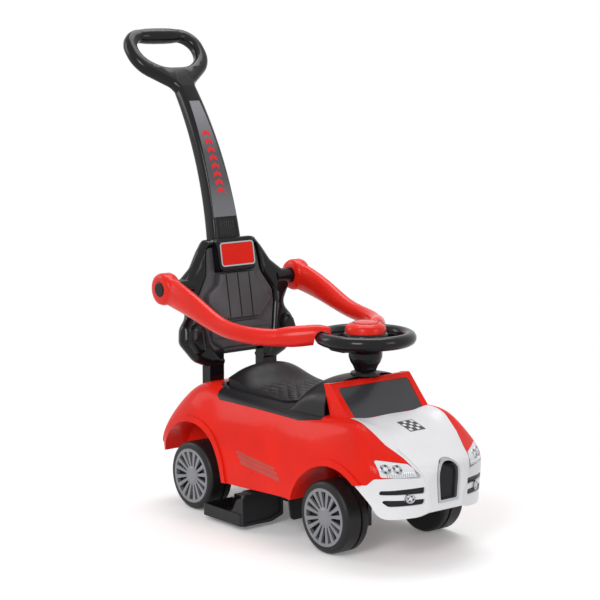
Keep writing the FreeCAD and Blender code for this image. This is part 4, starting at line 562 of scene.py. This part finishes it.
def tray_ribs():
    """Grip ribs on the floor of each footrest."""
    count = 7
    inner = 102 * MM
    gap = 8 * MM
    margin = 10 * MM
    points = 32
    step = 3 * MM
    start_height = 20 * MM
    floor_height = 6 * MM
    least_upward = 0.9
    for side_name, side in SIDES:
        footrest = "footrest_" + side_name
        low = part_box(footrest)[0]
        tree = surface(footrest)
        floor_top = low.z + floor_height
        lines = []
        for k in range(count):
            y = side * (inner + gap * k)
            places = [Vector((low.x + margin + step * i, y, low.z + start_height)) for i in range(points)]
            lines += dropped_line(tree, places, DOWN,
                                  lambda spot, normal: spot.z < floor_top and normal.z > least_upward)
        rib_piece("tray_ribs_" + side_name, lines, black, footrest, half=1.6 * MM, height=1.2 * MM)


flank_stripes()
seat_quilting()
panel_bars()
handle_ribs()
bonnet_patch()
headlamp_details()
horn_ring()
tray_ribs()


# Camera at the photograph's place

def make_camera():
    azimuth = math.radians(50.678)
    pitch = math.radians(8.819)
    place = Vector((rear_axle.x + 2.8593, -2.2160, 0.9438))
    focal_pixels = 1936.848
    picture_pixels = 600
    sensor = 36.0
    level = math.cos(pitch)
    back = Vector((math.sin(azimuth) * level, -math.cos(azimuth) * level, math.sin(pitch)))
    right = Vector((math.cos(azimuth), math.sin(azimuth), 0))
    up = back.cross(right)
    data = bpy.data.cameras.new("camera")
    data.sensor_width = sensor
    data.lens = sensor * focal_pixels / picture_pixels
    data.clip_start = 0.05
    data.clip_end = 50
    camera = bpy.data.objects.new("camera", data)
    bpy.context.scene.collection.objects.link(camera)
    turn = Matrix((right, up, back)).transposed()
    camera.matrix_world = Matrix.Translation(place) @ turn.to_4x4()
    bpy.context.scene.camera = camera


# Floor and light

def make_floor():
    """Pale round floor that holds the shadow and fades out before its edge."""
    middle = (0.02, 0, -0.4 * MM)
    radius = 1.6
    fade_range = (0.38, 0.9)
    material, tree, shader = new_material("pale_floor")
    shader.inputs["Base Color"].default_value = (0.96, 0.96, 0.96, 1)
    shader.inputs["Roughness"].default_value = 0.6
    shader.inputs["Emission Color"].default_value = (1, 1, 1, 1)
    shader.inputs["Emission Strength"].default_value = 0.14
    coords = add(tree, "ShaderNodeTexCoord")
    length = add(tree, "ShaderNodeVectorMath", operation="LENGTH")
    tree.links.new(coords.outputs["Object"], length.inputs[0])
    fade = map_range(tree, length.outputs["Value"], fade_range, (1.0, 0.0), "SMOOTHSTEP")
    tree.links.new(fade, shader.inputs["Alpha"])
    bpy.ops.mesh.primitive_circle_add(vertices=96, radius=radius, fill_type="NGON", location=middle)
    floor = bpy.context.object
    floor.name = "floor"
    floor.data.materials.append(material)


def area_light(name, place, target, size, power):
    data = bpy.data.lights.new(name, "AREA")
    data.shape = "RECTANGLE"
    data.size, data.size_y = size
    data.energy = power
    lamp = bpy.data.objects.new(name, data)
    bpy.context.scene.collection.objects.link(lamp)
    lamp.location = place
    lamp.rotation_mode = "QUATERNION"
    lamp.rotation_quaternion = (Vector(target) - Vector(place)).to_track_quat("-Z", "Y")


def make_world():
    """White to the eye and in reflections, dimmer as a light."""
    ambient = 0.42
    world = bpy.data.worlds.new("studio")
    bpy.context.scene.world = world
    world.use_nodes = True
    tree = world.node_tree
    background = tree.nodes["Background"]
    path = add(tree, "ShaderNodeLightPath")
    mirrored = add(tree, "ShaderNodeMath", operation="MAXIMUM")
    tree.links.new(path.outputs["Is Glossy Ray"], mirrored.inputs[0])
    tree.links.new(path.outputs["Is Transmission Ray"], mirrored.inputs[1])
    seen = add(tree, "ShaderNodeMath", operation="MAXIMUM")
    tree.links.new(path.outputs["Is Camera Ray"], seen.inputs[0])
    tree.links.new(mirrored.outputs["Value"], seen.inputs[1])
    level = map_range(tree, seen.outputs["Value"], (0.0, 1.0), (ambient, 1.0))
    background.inputs["Color"].default_value = (1, 1, 1, 1)
    tree.links.new(level, background.inputs["Strength"])


make_camera()
make_floor()
make_world()
area_light("key", (1.6, -2.6, 1.9), (0, 0, 0.35), (1.2, 1.4), 50)
area_light("top", (-0.7, 0.8, 2.7), (0.05, 0, 0.2), (1.6, 1.4), 33)
area_light("side", (-2.4, -1.6, 1.5), (0, 0, 0.4), (0.8, 1.6), 14)
area_light("front", (2.8, 0.9, 1.4), (0.1, 0, 0.3), (1.0, 1.4), 13)
bpy.context.scene.view_settings.view_transform = "Standard"
